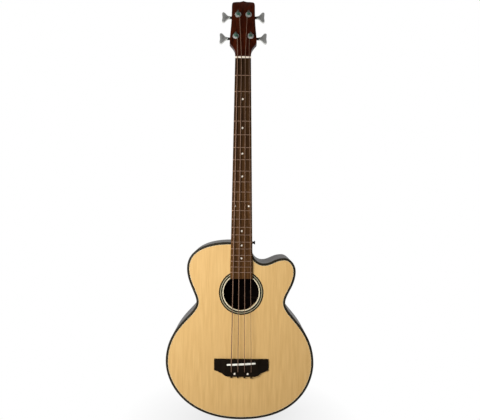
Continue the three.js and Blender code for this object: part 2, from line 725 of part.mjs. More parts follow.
function buildBridge(group) {
  const size = bridgeSize;
  const seen = new THREE.Shape();
  seen.moveTo(-size.halfLength, -size.front);
  seen.lineTo(-size.halfLength, -size.wingBack);
  seen.bezierCurveTo(-size.scoopHalf, -size.wingBack - size.shoulderDrop,
    -size.bellyShoulder, -size.bellyBack, -size.bellyHalf, -size.bellyBack);
  seen.lineTo(size.bellyHalf, -size.bellyBack);
  seen.bezierCurveTo(size.bellyShoulder, -size.bellyBack,
    size.scoopHalf, -size.wingBack - size.shoulderDrop, size.halfLength, -size.wingBack);
  seen.lineTo(size.halfLength, -size.front);
  const plan = plate(seen.getPoints(bridgeDivisions), size.height + cutOverrun, -0);
  const side = new THREE.Shape();
  side.moveTo(-size.halfLength - cutOverrun, 0);
  side.lineTo(-size.halfLength - cutOverrun, size.wingHeight);
  side.lineTo(-size.scoopEnd, size.wingHeight);
  side.quadraticCurveTo(-size.wingStart - size.edge, size.wingHeight, -size.wingStart, size.height);
  side.lineTo(size.wingStart, size.height);
  side.quadraticCurveTo(size.wingStart + size.edge, size.wingHeight, size.scoopEnd, size.wingHeight);
  side.lineTo(size.halfLength + cutOverrun, size.wingHeight);
  side.lineTo(size.halfLength + cutOverrun, 0);
  const depth = size.bellyBack - size.front + 2 * cutOverrun;
  const elevation = new THREE.ExtrudeGeometry(side, { depth, bevelEnabled: false, curveSegments: bridgeDivisions });
  elevation.rotateX(Math.PI / 2);
  elevation.translate(0, -size.front + cutOverrun, 0);
  const blank = common(plan, elevation);

  const slot = plate(stadium(saddleSize.length + 2 * seatGap, saddleSize.width + 2 * seatGap, saddleSize.cornerSteps),
    size.height + cutOverrun, size.height - saddleSize.seatDepth - seatGap);
  slot.rotateZ(radians(saddleSlant));
  slot.translate(0, saddleY, 0);
  const bores = strings.map((string, i) => {
    const tailOf = stringTail(i);
    const bore = cylinder(string.gauge / 2 + runningGap, size.bellyBack - size.front, 12);
    bore.rotateX(Math.atan(tailOf.slope));
    bore.translate(tailOf.x, tailOf.y + (-size.bellyBack - tailOf.y) / 2, 0);
    bore.translate(0, 0, tailOf.z + tailOf.slope * (-size.bellyBack - tailOf.y) / 2);
    return bore;
  });
  const capSeats = [-1, 1].map((end) => {
    const seat = cylinder(boltCap.radius + seatGap, boltCap.thickness * 2, 16);
    seat.rotateX(Math.PI / 2);
    seat.translate(end * boltCap.spread / 2, -boltCap.at, size.height);
    return seat;
  });
  piece(group, 'bridge', cut(blank, slot, ...bores, ...capSeats), finish.ebony);

  ['bass', 'treble'].forEach((name, i) => {
    const height = boltCap.thickness - seatGap + boltCap.proud;
    const cap = turned([[0, 0], [boltCap.radius, 0], [boltCap.radius, height - boltCap.proud], [0, height]], 16);
    const node = piece(group, `bridge_cap_${name}`, cap, finish.pearl);
    node.position.set((i ? 1 : -1) * boltCap.spread / 2, -boltCap.at, size.height - boltCap.thickness + seatGap);
  });
}

function buildSaddle(group) {
  const foot = bridgeSize.height - saddleSize.seatDepth;
  const blank = plate(stadium(saddleSize.length, saddleSize.width, saddleSize.cornerSteps), boardArchRadius, foot);
  const crest = stringHeightAtSaddle - seatGap;
  const half = saddleSize.length / 2;
  const steps = strings.length * 2;
  const edge = [];
  for (let i = 0; i <= steps; i += 1) {
    const x = half - (saddleSize.length * i) / steps;
    edge.push(new THREE.Vector2(x, crest - archDrop(x)));
  }
  const side = new THREE.Shape([new THREE.Vector2(-half, foot - cutOverrun), new THREE.Vector2(half, foot - cutOverrun), ...edge]);
  const elevation = new THREE.ExtrudeGeometry(side, { depth: saddleSize.width + cutOverrun, bevelEnabled: false });
  elevation.rotateX(Math.PI / 2);
  elevation.translate(0, (saddleSize.width + cutOverrun) / 2, 0);
  const node = piece(group, 'saddle', common(blank, elevation), finish.bone);
  node.position.set(0, saddleY, 0);
  node.rotation.z = radians(saddleSlant);
}

// A D-shaped section of the neck, flat in front, that fills out into the heel
function neckSection(y, half, depth, taper, power) {
  const steps = 12;
  const ring = [];
  for (let i = 0; i <= steps; i += 1) {
    const angle = (Math.PI * i) / steps;
    const across = Math.sign(Math.cos(angle)) * Math.abs(Math.cos(angle)) ** (2 / power);
    const down = Math.sin(angle) ** (2 / power);
    ring.push(new THREE.Vector3(half * across * (1 - taper * down), y, -neckSize.edge - (depth - neckSize.edge) * down));
  }
  return [new THREE.Vector3(half, y, 0), ...ring, new THREE.Vector3(-half, y, 0)];
}

function neckHalfAt(y) {
  return (board.nutWidth + (neckSize.endWidth - board.nutWidth) * (-y / -jointY)) / 2;
}

function neckShaft() {
  const round = 2;
  const rings = [neckSection(nutSize.thickness, neckHalfAt(0), neckSize.depthAtNut, 0, round)];
  const heelY = -neckSize.heelStart;
  rings.push(neckSection(heelY, neckHalfAt(heelY), neckSize.depthAtHeel, 0, round));
  const end = jointY + heel.capLength;
  const back = new THREE.CubicBezierCurve(
    new THREE.Vector2(heelY, neckSize.depthAtHeel), new THREE.Vector2(heelY - heel.pull, neckSize.depthAtHeel),
    new THREE.Vector2(end, heel.depth - heel.rise), new THREE.Vector2(end - seatGap, heel.depth),
  );
  const heelSection = ({ x: y, y: depth }) => {
    const share = (depth - neckSize.depthAtHeel) / (heel.depth - neckSize.depthAtHeel);
    const half = neckHalfAt(y);
    return neckSection(y, half, depth, share * (1 - heel.capHalf / half), round + share * (heel.cornerPower - round));
  };
  back.getPoints(heelDivisions).slice(1).forEach((p) => rings.push(heelSection(p)));
  rings.push(heelSection(new THREE.Vector2(jointY, heel.depth)));
  return loft(rings);
}

// The headstock's outline on its own face, x across and y up from the nut's head side
function headOutline() {
  const h = headSize;
  const shape = new THREE.Shape();
  shape.moveTo(h.footHalf, 0);
  shape.quadraticCurveTo(h.footHalf, h.throatAt / 2, h.throatHalf, h.throatAt);
  shape.bezierCurveTo(h.throatHalf, (h.throatAt + h.ogeeAt) / 2, h.ogeeHalf, h.ogeeAt, h.wideHalf, h.wideAt);
  shape.bezierCurveTo(h.wideHalf, h.topAt / 2, h.topHalf, h.topAt / 2, h.topHalf, h.topAt);
  shape.quadraticCurveTo(h.topHalf, h.corner, h.cornerHalf, (h.corner + h.shoulder) / 2);
  shape.quadraticCurveTo(h.peakHalf * 2, h.shoulder, h.peakHalf, h.shoulder);
  shape.quadraticCurveTo(h.peakWaist, h.shoulder, 0, h.peak);
  shape.quadraticCurveTo(-h.peakWaist, h.shoulder, -h.peakHalf, h.shoulder);
  shape.quadraticCurveTo(-h.peakHalf * 2, h.shoulder, -h.cornerHalf, (h.corner + h.shoulder) / 2);
  shape.quadraticCurveTo(-h.topHalf, h.corner, -h.topHalf, h.topAt);
  shape.bezierCurveTo(-h.topHalf, h.topAt / 2, -h.wideHalf, h.topAt / 2, -h.wideHalf, h.wideAt);
  shape.bezierCurveTo(-h.ogeeHalf, h.ogeeAt, -h.throatHalf, (h.throatAt + h.ogeeAt) / 2, -h.throatHalf, h.throatAt);
  shape.quadraticCurveTo(-h.footHalf, h.throatAt / 2, -h.footHalf, 0);
  return shape.getPoints(headDivisions);
}

// Places a geometry of the headstock's own frame in the bench frame
function tilted(geometry) {
  geometry.rotateX(radians(-headTilt));
  geometry.translate(0, nutSize.thickness, 0);
  return geometry;
}

function postPlace(string) {
  const lower = string.row === 'lower';
  return {
    x: string.side * (lower ? tunerRows.lowerHalf : tunerRows.upperHalf),
    y: lower ? tunerRows.lowerAt : tunerRows.upperAt,
  };
}

function postHoles(radius) {
  return strings.map((string) => {
    const place = postPlace(string);
    const hole = cylinder(radius, headSize.thickness * 4, 12);
    hole.rotateX(Math.PI / 2);
    hole.translate(place.x, place.y, 0);
    return hole;
  });
}

function buildNeck(group, head) {
  const woodTop = -headSize.veneer - seatGap;
  const headWood = tilted(cut(plate(headOutline(), woodTop, -headSize.thickness),
    ...postHoles(bushing.sleeveRadius + seatGap)));
  const channelLength = trussRod.end - trussRod.start + 2 * seatGap;
  const channel = box(2 * (trussRod.radius + seatGap), channelLength, trussRod.channel * 2);
  channel.translate(0, -(trussRod.start + trussRod.end) / 2, 0);
  const faceRoom = box(headSize.wideHalf * 2, headSize.peak, -woodTop * 2);
  faceRoom.translate(0, headSize.peak / 2 - seatGap, 0);
  const neck = cut(join(neckShaft(), headWood, tonguePlate(0)), channel, tilted(faceRoom));
  piece(group, 'neck', neck, finish.mahogany);

  const veneer = cut(plate(headOutline(), 0, -headSize.veneer), ...postHoles(bushing.sleeveRadius + seatGap));
  piece(head, 'headstock_face', veneer, finish.rosewood);

  const rod = cylinder(trussRod.radius, trussRod.end - trussRod.start, 12);
  const node = piece(group, 'truss_rod', rod, finish.steel);
  node.position.set(0, -(trussRod.start + trussRod.end) / 2, -trussRod.radius - trussRod.seat);

  const capFront = heel.capLength;
  const capOutline = [];
  const capSteps = 10;
  for (let i = 0; i <= capSteps; i += 1) {
    const angle = (Math.PI * i) / capSteps;
    const reach = Math.sin(angle) ** (2 / heel.cornerPower);
    capOutline.push(new THREE.Vector2(heel.capHalf * Math.cos(angle), jointY + capFront * reach));
  }
  const capTop = -heel.depth - seatGap;
  piece(group, 'heel_cap', plate(capOutline, capTop, capTop - heel.capThickness), finish.ebony);
}

// A tube's path through given points, in equal steps of its parameter from point to point
class RoutePath extends THREE.Curve {
  constructor(points) {
    super();
    this.points = points;
  }

  getPoint(t) {
    const last = this.points.length - 1;
    const step = Math.min(Math.floor(t * last + weldDistance), last - 1);
    return this.points[step].clone().lerp(this.points[step + 1], t * last - step);
  }

  getPointAt(t) {
    return this.getPoint(t);
  }

  getTangentAt(t) {
    const last = this.points.length - 1;
    const i = Math.round(t * last);
    const before = this.points[Math.max(i - 1, 0)];
    const after = this.points[Math.min(i + 1, last)];
    return new THREE.Vector3().subVectors(after, before).normalize();
  }
}

function tube(points, radius, sides) {
  const section = [];
  for (let i = 0; i < sides; i += 1) {
    const angle = (2 * Math.PI * i) / sides;
    section.push(new THREE.Vector2(radius * Math.cos(angle), radius * Math.sin(angle)));
  }
  const extrudePath = new RoutePath(points);
  const steps = points.length - 1;
  return new THREE.ExtrudeGeometry(new THREE.Shape(section), { steps, extrudePath, bevelEnabled: false });
}

// Thickness of a string's silk-covered core, which is all of it that goes round the post
function coreOf(string) {
  return string.gauge * coreShare;
}

// Radius at which the core's centre lies on its post, and the space its straight ends sweep
function windingRadius(core) {
  return tunerPost.radius + seatGap + core / 2;
}

function windingReach(core) {
  return Math.hypot(windingRadius(core) + core / 2, core);
}

// A point of the bench frame in the headstock's frame, and back
function toHead(p) {
  return p.clone().sub(new THREE.Vector3(0, nutSize.thickness, 0))
    .applyAxisAngle(new THREE.Vector3(1, 0, 0), radians(headTilt));
}

function toBench(p) {
  return p.clone().applyAxisAngle(new THREE.Vector3(1, 0, 0), radians(-headTilt))
    .add(new THREE.Vector3(0, nutSize.thickness, 0));
}

// The string's straight run from the nut to its post, in the headstock's frame: it
// touches the first turn on the post's inner side
function headRun(number) {
  const string = strings[number];
  const place = postPlace(string);
  const core = coreOf(string);
  const radius = windingRadius(core);
  const x = nutX(number);
  const z = nutFloor - archDrop(x) + string.gauge / 2;
  const start = toHead(new THREE.Vector3(x, nutSize.thickness, z));
  const level = bushing.nut + core / 2 + winding.firstTurn;
  const toPost = Math.atan2(place.y - start.y, place.x - start.x);
  const far = Math.hypot(place.x - start.x, place.y - start.y);
  const off = Math.asin(radius / far);
  const heading = toPost + string.side * off;
  const run = Math.sqrt(far ** 2 - radius ** 2);
  return { string, core, radius, start, level, heading, run };
}

function buildStrings(group) {
  strings.forEach((string, number) => {
    const radius = string.gauge / 2;
    const tailOf = stringTail(number);
    const slotX = nutX(number);
    const nutZ = nutFloor - archDrop(slotX) + radius;
    const { core, start, level, heading, run } = headRun(number);
    const stop = Math.sqrt((windingReach(core) + seatGap) ** 2 - (windingRadius(core) - radius) ** 2);
    const share = (run - stop) / run;
    const end = new THREE.Vector3(
      start.x + Math.cos(heading) * run * share, start.y + Math.sin(heading) * run * share,
      start.z + (level - start.z) * share,
    );
    const saddleX = tailOf.x + bridgeOffset;
    const saddlePoint = new THREE.Vector3(saddleX, tailOf.y, tailOf.z);
    const tailEnd = new THREE.Vector3(saddleX, tailOf.endY, tailOf.endZ);
    const nutPoint = new THREE.Vector3(slotX, 0, nutZ);
    const nutBack = new THREE.Vector3(slotX, nutSize.thickness, nutZ);
    const wire = tube([tailEnd, saddlePoint, nutPoint, nutBack, toBench(end)], radius, stringSides);
    const ballRadius = ballEnd.radius;
    const ball = cylinder(ballRadius, ballEnd.length, 12);
    ball.rotateZ(Math.PI / 2);
    ball.translate(tailEnd.x, tailEnd.y, tailEnd.z);
    piece(group, `string_${string.name}`, join(wire, ball), finish.bronze);
  });
}

// The string's turns on its post, one unbroken tube with straight ends
function windingPoints(number) {
  const { string, core, radius, level, heading } = headRun(number);
  const spin = -string.side;
  const direction = new THREE.Vector2(Math.cos(heading), Math.sin(heading));
  const contact = heading - spin * (Math.PI / 2);
  const rise = (core + winding.turnGap) / winding.stepsPerTurn;
  const points = [];
  const steps = Math.round(string.turns * winding.stepsPerTurn);
  for (let i = 0; i <= steps; i += 1) {
    const angle = contact + (spin * 2 * Math.PI * i) / winding.stepsPerTurn;
    points.push(new THREE.Vector3(radius * Math.cos(angle), radius * Math.sin(angle), level + rise * i));
  }
  const first = points[0].clone().sub(new THREE.Vector3(direction.x, direction.y, 0).multiplyScalar(core));
  const leave = contact + (spin * 2 * Math.PI * steps) / winding.stepsPerTurn + spin * (Math.PI / 2);
  const last = points.at(-1).clone()
    .add(new THREE.Vector3(Math.cos(leave), Math.sin(leave), 0).multiplyScalar(core));
  return [first, ...points, last];
}

// The least gap between turns of a winding, measured on the tube's points one turn apart
function leastGap(points, thickness) {
  let least = Infinity;
  const apart = winding.stepsPerTurn / 2;
  for (let i = 0; i < points.length; i += 1) {
    for (let j = i + apart; j < points.length; j += 1) {
      least = Math.min(least, points[i].distanceTo(points[j]) - thickness);
    }
  }
  return least;
}

// The wheel of one tuner, its slanted teeth drawn on two faces
function wormWheel() {
  const g = gearing;
  const pitchRadius = (g.module * g.teeth) / 2;
  const pitch = (2 * Math.PI) / g.teeth;
  const slant = Math.tan(Math.asin(g.module / (2 * g.wormRadius))) / pitchRadius;
  const ringAt = (z) => {
    const ring = [];
    for (let tooth = 0; tooth < g.teeth; tooth += 1) {
      const middle = Math.PI / 2 + pitch * (tooth + 0.5) + slant * z;
      const corners = [
        [-toothShares.rootHalf, pitchRadius - g.wheelDedendum], [-toothShares.tipHalf, pitchRadius + g.wheelAddendum],
        [toothShares.tipHalf, pitchRadius + g.wheelAddendum], [toothShares.rootHalf, pitchRadius - g.wheelDedendum],
      ];
      for (const [share, radius] of corners) {
        const angle = middle + share * pitch;
        ring.push(new THREE.Vector3(radius * Math.cos(angle), radius * Math.sin(angle), z));
      }
    }
    return ring;
  };
  return loft([ringAt(-g.wheelWidth / 2), ringAt(g.wheelWidth / 2)]);
}

// The worm, drawn along x, with one thread whose crest faces the wheel at its middle
function worm() {
  const g = gearing;
  const pitch = Math.PI * g.module;
  const rows = Math.round(g.wormTurns * wormRowsPerTurn);
  const length = g.wormTurns * pitch;
  const radiusAt = (phase) => {
    const away = Math.abs(phase - Math.round(phase));
    const { crestHalf, rootHalf } = threadShares;
    const fall = THREE.MathUtils.clamp((away - crestHalf) / (rootHalf - crestHalf), 0, 1);
    return g.wormRadius + g.wormAddendum - fall * (g.wormAddendum + g.wormDedendum);
  };
  const rings = [];
  for (let row = 0; row <= rows; row += 1) {
    const x = -length / 2 + (length * row) / rows;
    const ring = [];
    for (let column = 0; column < wormColumns; column += 1) {
      const angle = (2 * Math.PI * column) / wormColumns;
      const radius = radiusAt(x / pitch - angle / (2 * Math.PI) + 0.5);
      ring.push(new THREE.Vector3(x, radius * Math.cos(angle), radius * Math.sin(angle)));
    }
    rings.push(ring);
  }
  return loft(rings);
}

const wormOffset = (gearing.module * gearing.teeth) / 2 + gearing.wormRadius;
const wheelLevel = -headSize.thickness - housing.wheelLevel;

// The two-lobed key plate, drawn outwards from its stem along x
function keyPlate() {
  const shape = new THREE.Shape();
  const across = key.length;
  const up = key.halfHeight;
  shape.moveTo(0, -key.stemHalf);
  keyOutlineShares.forEach(([ax, ay, bx, by, cx, cy]) => {
    shape.bezierCurveTo(ax * across, -ay * up, bx * across, -by * up, cx * across, -cy * up);
  });
  [...keyOutlineShares].reverse().forEach(([ax, ay, bx, by], i) => {
    const next = [...keyOutlineShares].reverse()[i + 1];
    const end = next ? [next[4] * across, next[5] * up] : [0, key.stemHalf];
    shape.bezierCurveTo(bx * across, by * up, ax * across, ay * up, ...end);
  });
  const geometry = new THREE.ExtrudeGeometry(shape, {
    depth: key.thickness - 2 * key.bevel, bevelThickness: key.bevel, bevelSize: key.bevel, bevelOffset: -key.bevel,
    bevelSegments: 1, curveSegments: 4,
  });
  geometry.translate(0, 0, key.bevel - key.thickness / 2);
  return geometry;
}

function buildKey(parent, string) {
  const start = key.reach - key.length;
  const inner = -cavity().half + seatGap;
  const wormEnd = (gearing.wormTurns * Math.PI * gearing.module) / 2;
  const core = turned([
    [0, inner], [shaft.pinRadius, inner], [shaft.pinRadius, -wormEnd - seatGap],
    [shaft.radius, -wormEnd], [shaft.radius, start - shaft.ferruleLength],
    [shaft.ferruleRadius, start - shaft.ferruleLength], [shaft.ferruleRadius, start + key.bevel], [0, start + key.bevel],
  ], 12);
  core.rotateY(Math.PI / 2);
  const plateGeometry = keyPlate();
  plateGeometry.translate(start, 0, 0);
  const grip = join(core, plateGeometry);
  if (string.side < 0) grip.rotateZ(Math.PI);
  const node = piece(parent, `tuner_key_${string.name}`, join(grip, worm()), finish.chrome);
  node.position.set(0, wormOffset, wheelLevel);
}

// The room inside the housing: half width across and its ends below and above the post
function cavity() {
  const g = gearing;
  const wheelReach = (g.module * g.teeth) / 2 + g.wheelAddendum + housing.room;
  const wormReach = wormOffset + g.wormRadius + g.wormAddendum + housing.room;
  return { half: wheelReach + seatGap, below: wheelReach, above: wormReach };
}

function buildHousing(parent, string) {
  const room = cavity();
  const top = -headSize.thickness - seatGap;
  const bottom = top - housing.depth;
  const { wall } = housing;
  const rounded = (grow) => {
    const [left, right, low, high] = [-room.half - grow, room.half + grow, -room.below - grow, room.above + grow];
    const corner = room.half / 2;
    const shape = new THREE.Path();
    shape.absarc(right - corner, high - corner, corner, 0, Math.PI / 2, false);
    shape.absarc(left + corner, high - corner, corner, Math.PI / 2, Math.PI, false);
    shape.absarc(left + corner, low + corner, corner, Math.PI, Math.PI * 1.5, false);
    shape.absarc(right - corner, low + corner, corner, Math.PI * 1.5, Math.PI * 2, false);
    return shape.getPoints(3);
  };
  const shell = plate(rounded(wall), top, bottom);
  const hollow = plate(rounded(0), top + cutOverrun, bottom + housing.floor);
  const bossStart = room.half;
  const boss = cylinder(housing.bossRadius, housing.bossLength, 14);
  boss.rotateZ(Math.PI / 2);
  boss.translate(bossStart + housing.bossLength / 2, wormOffset, wheelLevel);
  const bore = cylinder(shaft.radius + seatGap, housing.bossLength * 4, 12);
  bore.rotateZ(Math.PI / 2);
  bore.translate(bossStart + housing.bossLength * 1.5, wormOffset, wheelLevel);
  const whole = cut(join(shell, boss), hollow, bore);
  if (string.side < 0) mirrorX(whole);
  piece(parent, `tuner_housing_${string.name}`, whole, finish.chrome);
}

function buildPost(parent, string) {
  const floor = -headSize.thickness - housing.depth + housing.floor;
  const { radius, top, crown } = tunerPost;
  const stem = turned([
    [0, floor], [radius - crown, floor], [radius, floor + crown], [radius, top - crown],
    [radius - crown, top], [0, top],
  ], 12);
  const wheel = wormWheel();
  wheel.translate(0, 0, wheelLevel);
  const slot = box(tunerPost.slotWidth, radius * 4, tunerPost.slotDepth * 2);
  slot.translate(0, 0, top);
  slot.rotateZ(radians(90));
  piece(parent, `tuner_post_${string.name}`, cut(join(stem, wheel), slot), finish.chrome);
}

function buildBushing(parent, string) {
  const b = bushing;
  const bore = tunerPost.radius + runningGap;
  const profile = [
    [bore, -b.sleeveLength], [b.sleeveRadius, -b.sleeveLength], [b.sleeveRadius, seatGap], [b.washerRadius, seatGap],
    [b.washerRadius, b.washer * 0.7], [b.washerRadius - b.washer * 0.3, b.washer], [b.nutRadius, b.washer],
    [b.nutRadius, b.nut - seatGap], [b.nutRadius - seatGap, b.nut], [bore, b.nut], [bore, -b.sleeveLength],
  ];
  piece(parent, `tuner_bushing_${string.name}`, turned(profile, 14), finish.chrome);
}

function buildTuners(head) {
  strings.forEach((string, number) => {
    const tuner = new THREE.Group();
    const place = postPlace(string);
    tuner.position.set(place.x, place.y, 0);
    head.add(tuner);
    buildHousing(tuner, string);
    buildKey(tuner, string);
    buildPost(tuner, string);
    buildBushing(tuner, string);
    const points = windingPoints(number);
    const core = coreOf(string);
    piece(tuner, `string_winding_${string.name}`, tube(points, core / 2, winding.sides), finish.silk);
    const gap = leastGap(points, core);
    console.log(`string_winding_${string.name}: least gap between turns ${gap.toFixed(2)} mm`);
  });
}

function buildStrapHardware(group) {
  const s = strapButton;
  const button = turned([
    [0, 0], [s.baseRadius, 0], [s.baseRadius, s.rim], [s.waistRadius, s.rim * 2], [s.flareRadius, s.length - s.rim],
    [s.flareRadius, s.length - s.rim / 2], [s.waistRadius, s.length], [0, s.length],
  ], 16);
  const node = piece(group, 'strap_button', button, finish.plastic);
  node.position.set(neckJoint.wall + seatGap, -s.at, -s.below);
  node.rotation.y = Math.PI / 2;

  const e = endPin;
  const pin = turned([
    [0, -e.shankLength], [e.shankRadius, -e.shankLength], [e.shankRadius, 0], [e.headRadius - e.rim, seatGap],
    [e.waistRadius, e.headLength / 2], [e.headRadius, e.headLength - e.rim],
    [e.headRadius, e.headLength - e.rim / 2], [e.headRadius - e.rim, e.headLength], [0, e.headLength],
  ], 16);
  const pinNode = piece(group, 'end_pin', pin, finish.plastic);
  pinNode.position.set(0, tailY - seatGap, endPinHeight());
  pinNode.rotation.x = Math.PI / 2;
}

const bench = new THREE.Group();
bench.rotation.x = Math.PI / 2;

const headGroup = new THREE.Group();
headGroup.position.set(0, nutSize.thickness, 0);
headGroup.rotation.x = radians(-headTilt);
bench.add(headGroup);

buildShell(bench);
buildLinings(bench);
buildBlocks(bench);
buildTopBraces(bench);
buildBackBraces(bench);
buildNeck(bench, headGroup);
buildFretboard(bench);
buildNut(bench);
const bridgeGroup = new THREE.Group();
bridgeGroup.position.x = bridgeOffset;
bench.add(bridgeGroup);
buildBridge(bridgeGroup);
buildSaddle(bridgeGroup);
buildStrings(bench);
buildTuners(headGroup);
buildStrapHardware(bench);

export default new THREE.Group().add(bench);
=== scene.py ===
"""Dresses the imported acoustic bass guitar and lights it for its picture.

Lengths in the classes are in millimetres in the bench frame: x runs across, with the treble side
positive, y runs along the strings towards the head, and z points out of the soundboard. The
fretboard's end at the nut is y zero, and the soundboard's face is z zero.
"""

import logging
import math
from dataclasses import dataclass
from enum import Enum
from functools import cache
from typing import Callable, Sequence

import bmesh
import bpy
from mathutils import Matrix, Vector, geometry


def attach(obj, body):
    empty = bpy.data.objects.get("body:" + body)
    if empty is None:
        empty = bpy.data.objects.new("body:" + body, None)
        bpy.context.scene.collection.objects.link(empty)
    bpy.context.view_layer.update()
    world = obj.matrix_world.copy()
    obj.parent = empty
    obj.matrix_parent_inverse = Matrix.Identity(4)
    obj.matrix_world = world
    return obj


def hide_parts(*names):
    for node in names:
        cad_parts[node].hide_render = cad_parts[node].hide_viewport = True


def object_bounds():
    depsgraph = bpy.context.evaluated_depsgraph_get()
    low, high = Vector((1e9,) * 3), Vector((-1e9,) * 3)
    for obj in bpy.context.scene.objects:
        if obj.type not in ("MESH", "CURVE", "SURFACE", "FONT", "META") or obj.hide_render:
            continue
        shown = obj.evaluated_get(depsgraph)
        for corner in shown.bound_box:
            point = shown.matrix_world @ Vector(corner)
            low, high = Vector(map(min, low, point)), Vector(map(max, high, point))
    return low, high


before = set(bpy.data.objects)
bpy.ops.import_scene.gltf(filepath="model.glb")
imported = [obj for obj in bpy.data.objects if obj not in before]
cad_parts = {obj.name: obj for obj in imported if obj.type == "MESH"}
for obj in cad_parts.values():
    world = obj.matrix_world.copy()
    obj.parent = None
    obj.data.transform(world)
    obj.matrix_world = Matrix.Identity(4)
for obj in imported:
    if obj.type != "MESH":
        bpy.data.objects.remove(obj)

CAD_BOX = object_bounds()
LOG = logging.getLogger("bass_guitar")
Height = float | Callable[[Vector], float]
Ring = list[Vector]
Pairs = Sequence[tuple[float, float]]
Colour = tuple[int, int, int]
Socket = bpy.types.NodeSocket

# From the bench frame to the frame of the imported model.
MM = 0.001
BENCH_TO_WORLD = Matrix(((1, 0, 0, 0), (0, 0, -1, 0), (0, 1, 0, 0), (0, 0, 0, 1)))

# The room between two pieces that lie against each other, the share of a rounded edge's size by
# which its middle stands off both faces, and the distance within which points are one, in metres.
SEAM = 0.05
ROUND = 0.3
WELD = 1e-7

# How finely a curve is measured, the fewest steps it gets, the least step that counts, and the
# steps of the soundhole's rings.
CURVE_SAMPLES = 121
LEAST_STEPS = 6
LEAST_STEP = 1e-6
HOLE_STEPS = 96

# Sizes that several pieces share.
HEAD_TILT = 14.0
NUT_THICKNESS = 6.0
HEAD = Matrix.Translation((0, NUT_THICKNESS, 0)) @ Matrix.Rotation(math.radians(-HEAD_TILT), 4, "X")
SCALE_LENGTH = 863.6
BODY_FRET = 16
ARCH_RADIUS = 406.0
BOARD_THICKNESS = 7.0
STRING_NAMES = "EADG"
SPREAD_AT_NUT = 32.6
SHIFT_AT_NUT = 0.8
SPREAD_AT_SADDLE = 56.1
BRIDGE_OFFSET = 1.6


class Body(Enum):
    """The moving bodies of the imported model."""

    GUITAR = "guitar"
    KEY = "key"
    POST = "post"

    def of(self, string: str = "") -> str:
        """Names the body that belongs to one string's tuner, or the guitar itself."""
        return self.value if self is Body.GUITAR else f"{self.value}_{string}"


class Grain(Enum):
    """The direction of a piece's wood fibres, as a turn in degrees."""

    ALONG = (0.0, 0.0, 0.0)
    ACROSS = (0.0, 90.0, 0.0)


# ---- shapes ----


def fret_distance(number: int) -> float:
    """Gives the distance of a fret from the nut."""
    return SCALE_LENGTH * (1 - 2 ** (-number / 12))


def arch_drop(x: float) -> float:
    """Gives the fall of the crowned playing surface at a distance from the centre line."""
    return ARCH_RADIUS - math.sqrt(ARCH_RADIUS**2 - x**2)


def string_x(number: int, spread: float) -> float:
    """Gives a string's place across the neck, counted from the bass side."""
    return spread * (number / (len(STRING_NAMES) - 1) - 0.5)


def string_side(number: int) -> int:
    """Gives -1 for a string on the bass side and 1 for one on the treble side."""
    return -1 if number < len(STRING_NAMES) / 2 else 1


def clamped(share: float) -> float:
    """Keeps a share between 0 and 1."""
    return min(max(share, 0.0), 1.0)


def shares(steps: int) -> list[float]:
    """Gives the shares from 0 to 1 in even steps."""
    return [k / steps for k in range(steps + 1)]


def turn(degrees: float, axis: str) -> Matrix:
    """Makes a turn about one axis."""
    return Matrix.Rotation(math.radians(degrees), 4, axis)


def polar(radius: float, angle: float, z: float = 0.0) -> Vector:
    """Gives the point at a radius and an angle round z."""
    return Vector((radius * math.cos(angle), radius * math.sin(angle), z))


def raised(point: Vector, height: Height) -> Vector:
    """Lifts a point to a height, which is a number or a function of the point."""
    return Vector((point.x, point.y, height(point) if callable(height) else height))


def circle(radius: float, x: float = 0.0, y: float = 0.0, count: int = 48) -> Ring:
    """Makes an anticlockwise circle of points."""
    turns = (2 * math.pi * i / count for i in range(count))
    return [Vector((x + radius * math.cos(t), y + radius * math.sin(t), 0)) for t in turns]


def box(left: float, right: float, low: float, high: float) -> Ring:
    """Makes an anticlockwise rectangle."""
    return [Vector((x, y, 0)) for x, y in ((left, low), (right, low), (right, high), (left, high))]


def quarter(start: Vector, corner: Vector, end: Vector, steps: int) -> Ring:
    """Draws the curve that turns a corner between two points, both included."""
    return [start * (1 - t) ** 2 + corner * 2 * t * (1 - t) + end * t**2 for t in shares(steps)]


def bezier(controls: Sequence[Sequence[float]], spacing: float = 4.0) -> Ring:
    """Samples one cubic curve at even distances.

    Args:
        controls: The four control points, each x and y.
        spacing: The distance aimed at between two samples.

    Returns:
        The samples, both ends included.
    """
    corners = (Vector((*p, 0.0)) for p in controls)
    fine = geometry.interpolate_bezier(*corners, CURVE_SAMPLES)
    lengths = [0.0]
    for p, q in zip(fine, fine[1:]):
        lengths.append(lengths[-1] + (q - p).length)
    samples, at = [], 0
    for t in shares(max(LEAST_STEPS, round(lengths[-1] / spacing))):
        goal = lengths[-1] * t
        while at < len(lengths) - 2 and lengths[at + 1] < goal:
            at += 1
        span = lengths[at + 1] - lengths[at]
        share = clamped((goal - lengths[at]) / span) if span else 0.0
        samples.append(fine[at].lerp(fine[at + 1], share))
    return samples


def spline(controls: Sequence[Sequence[float]], spacing: float = 4.0) -> Ring:
    """Samples a run of cubic curves.

    Args:
        controls: The control points, where the end of one curve is the start of the next.
        spacing: The distance aimed at between two samples.

    Returns:
        The samples, with each meeting point once.
    """
    points: Ring = []
    for first in range(0, len(controls) - 1, 3):
        curve = bezier(controls[first:first + 4], spacing)
        points += curve[1:] if points else curve
    return points


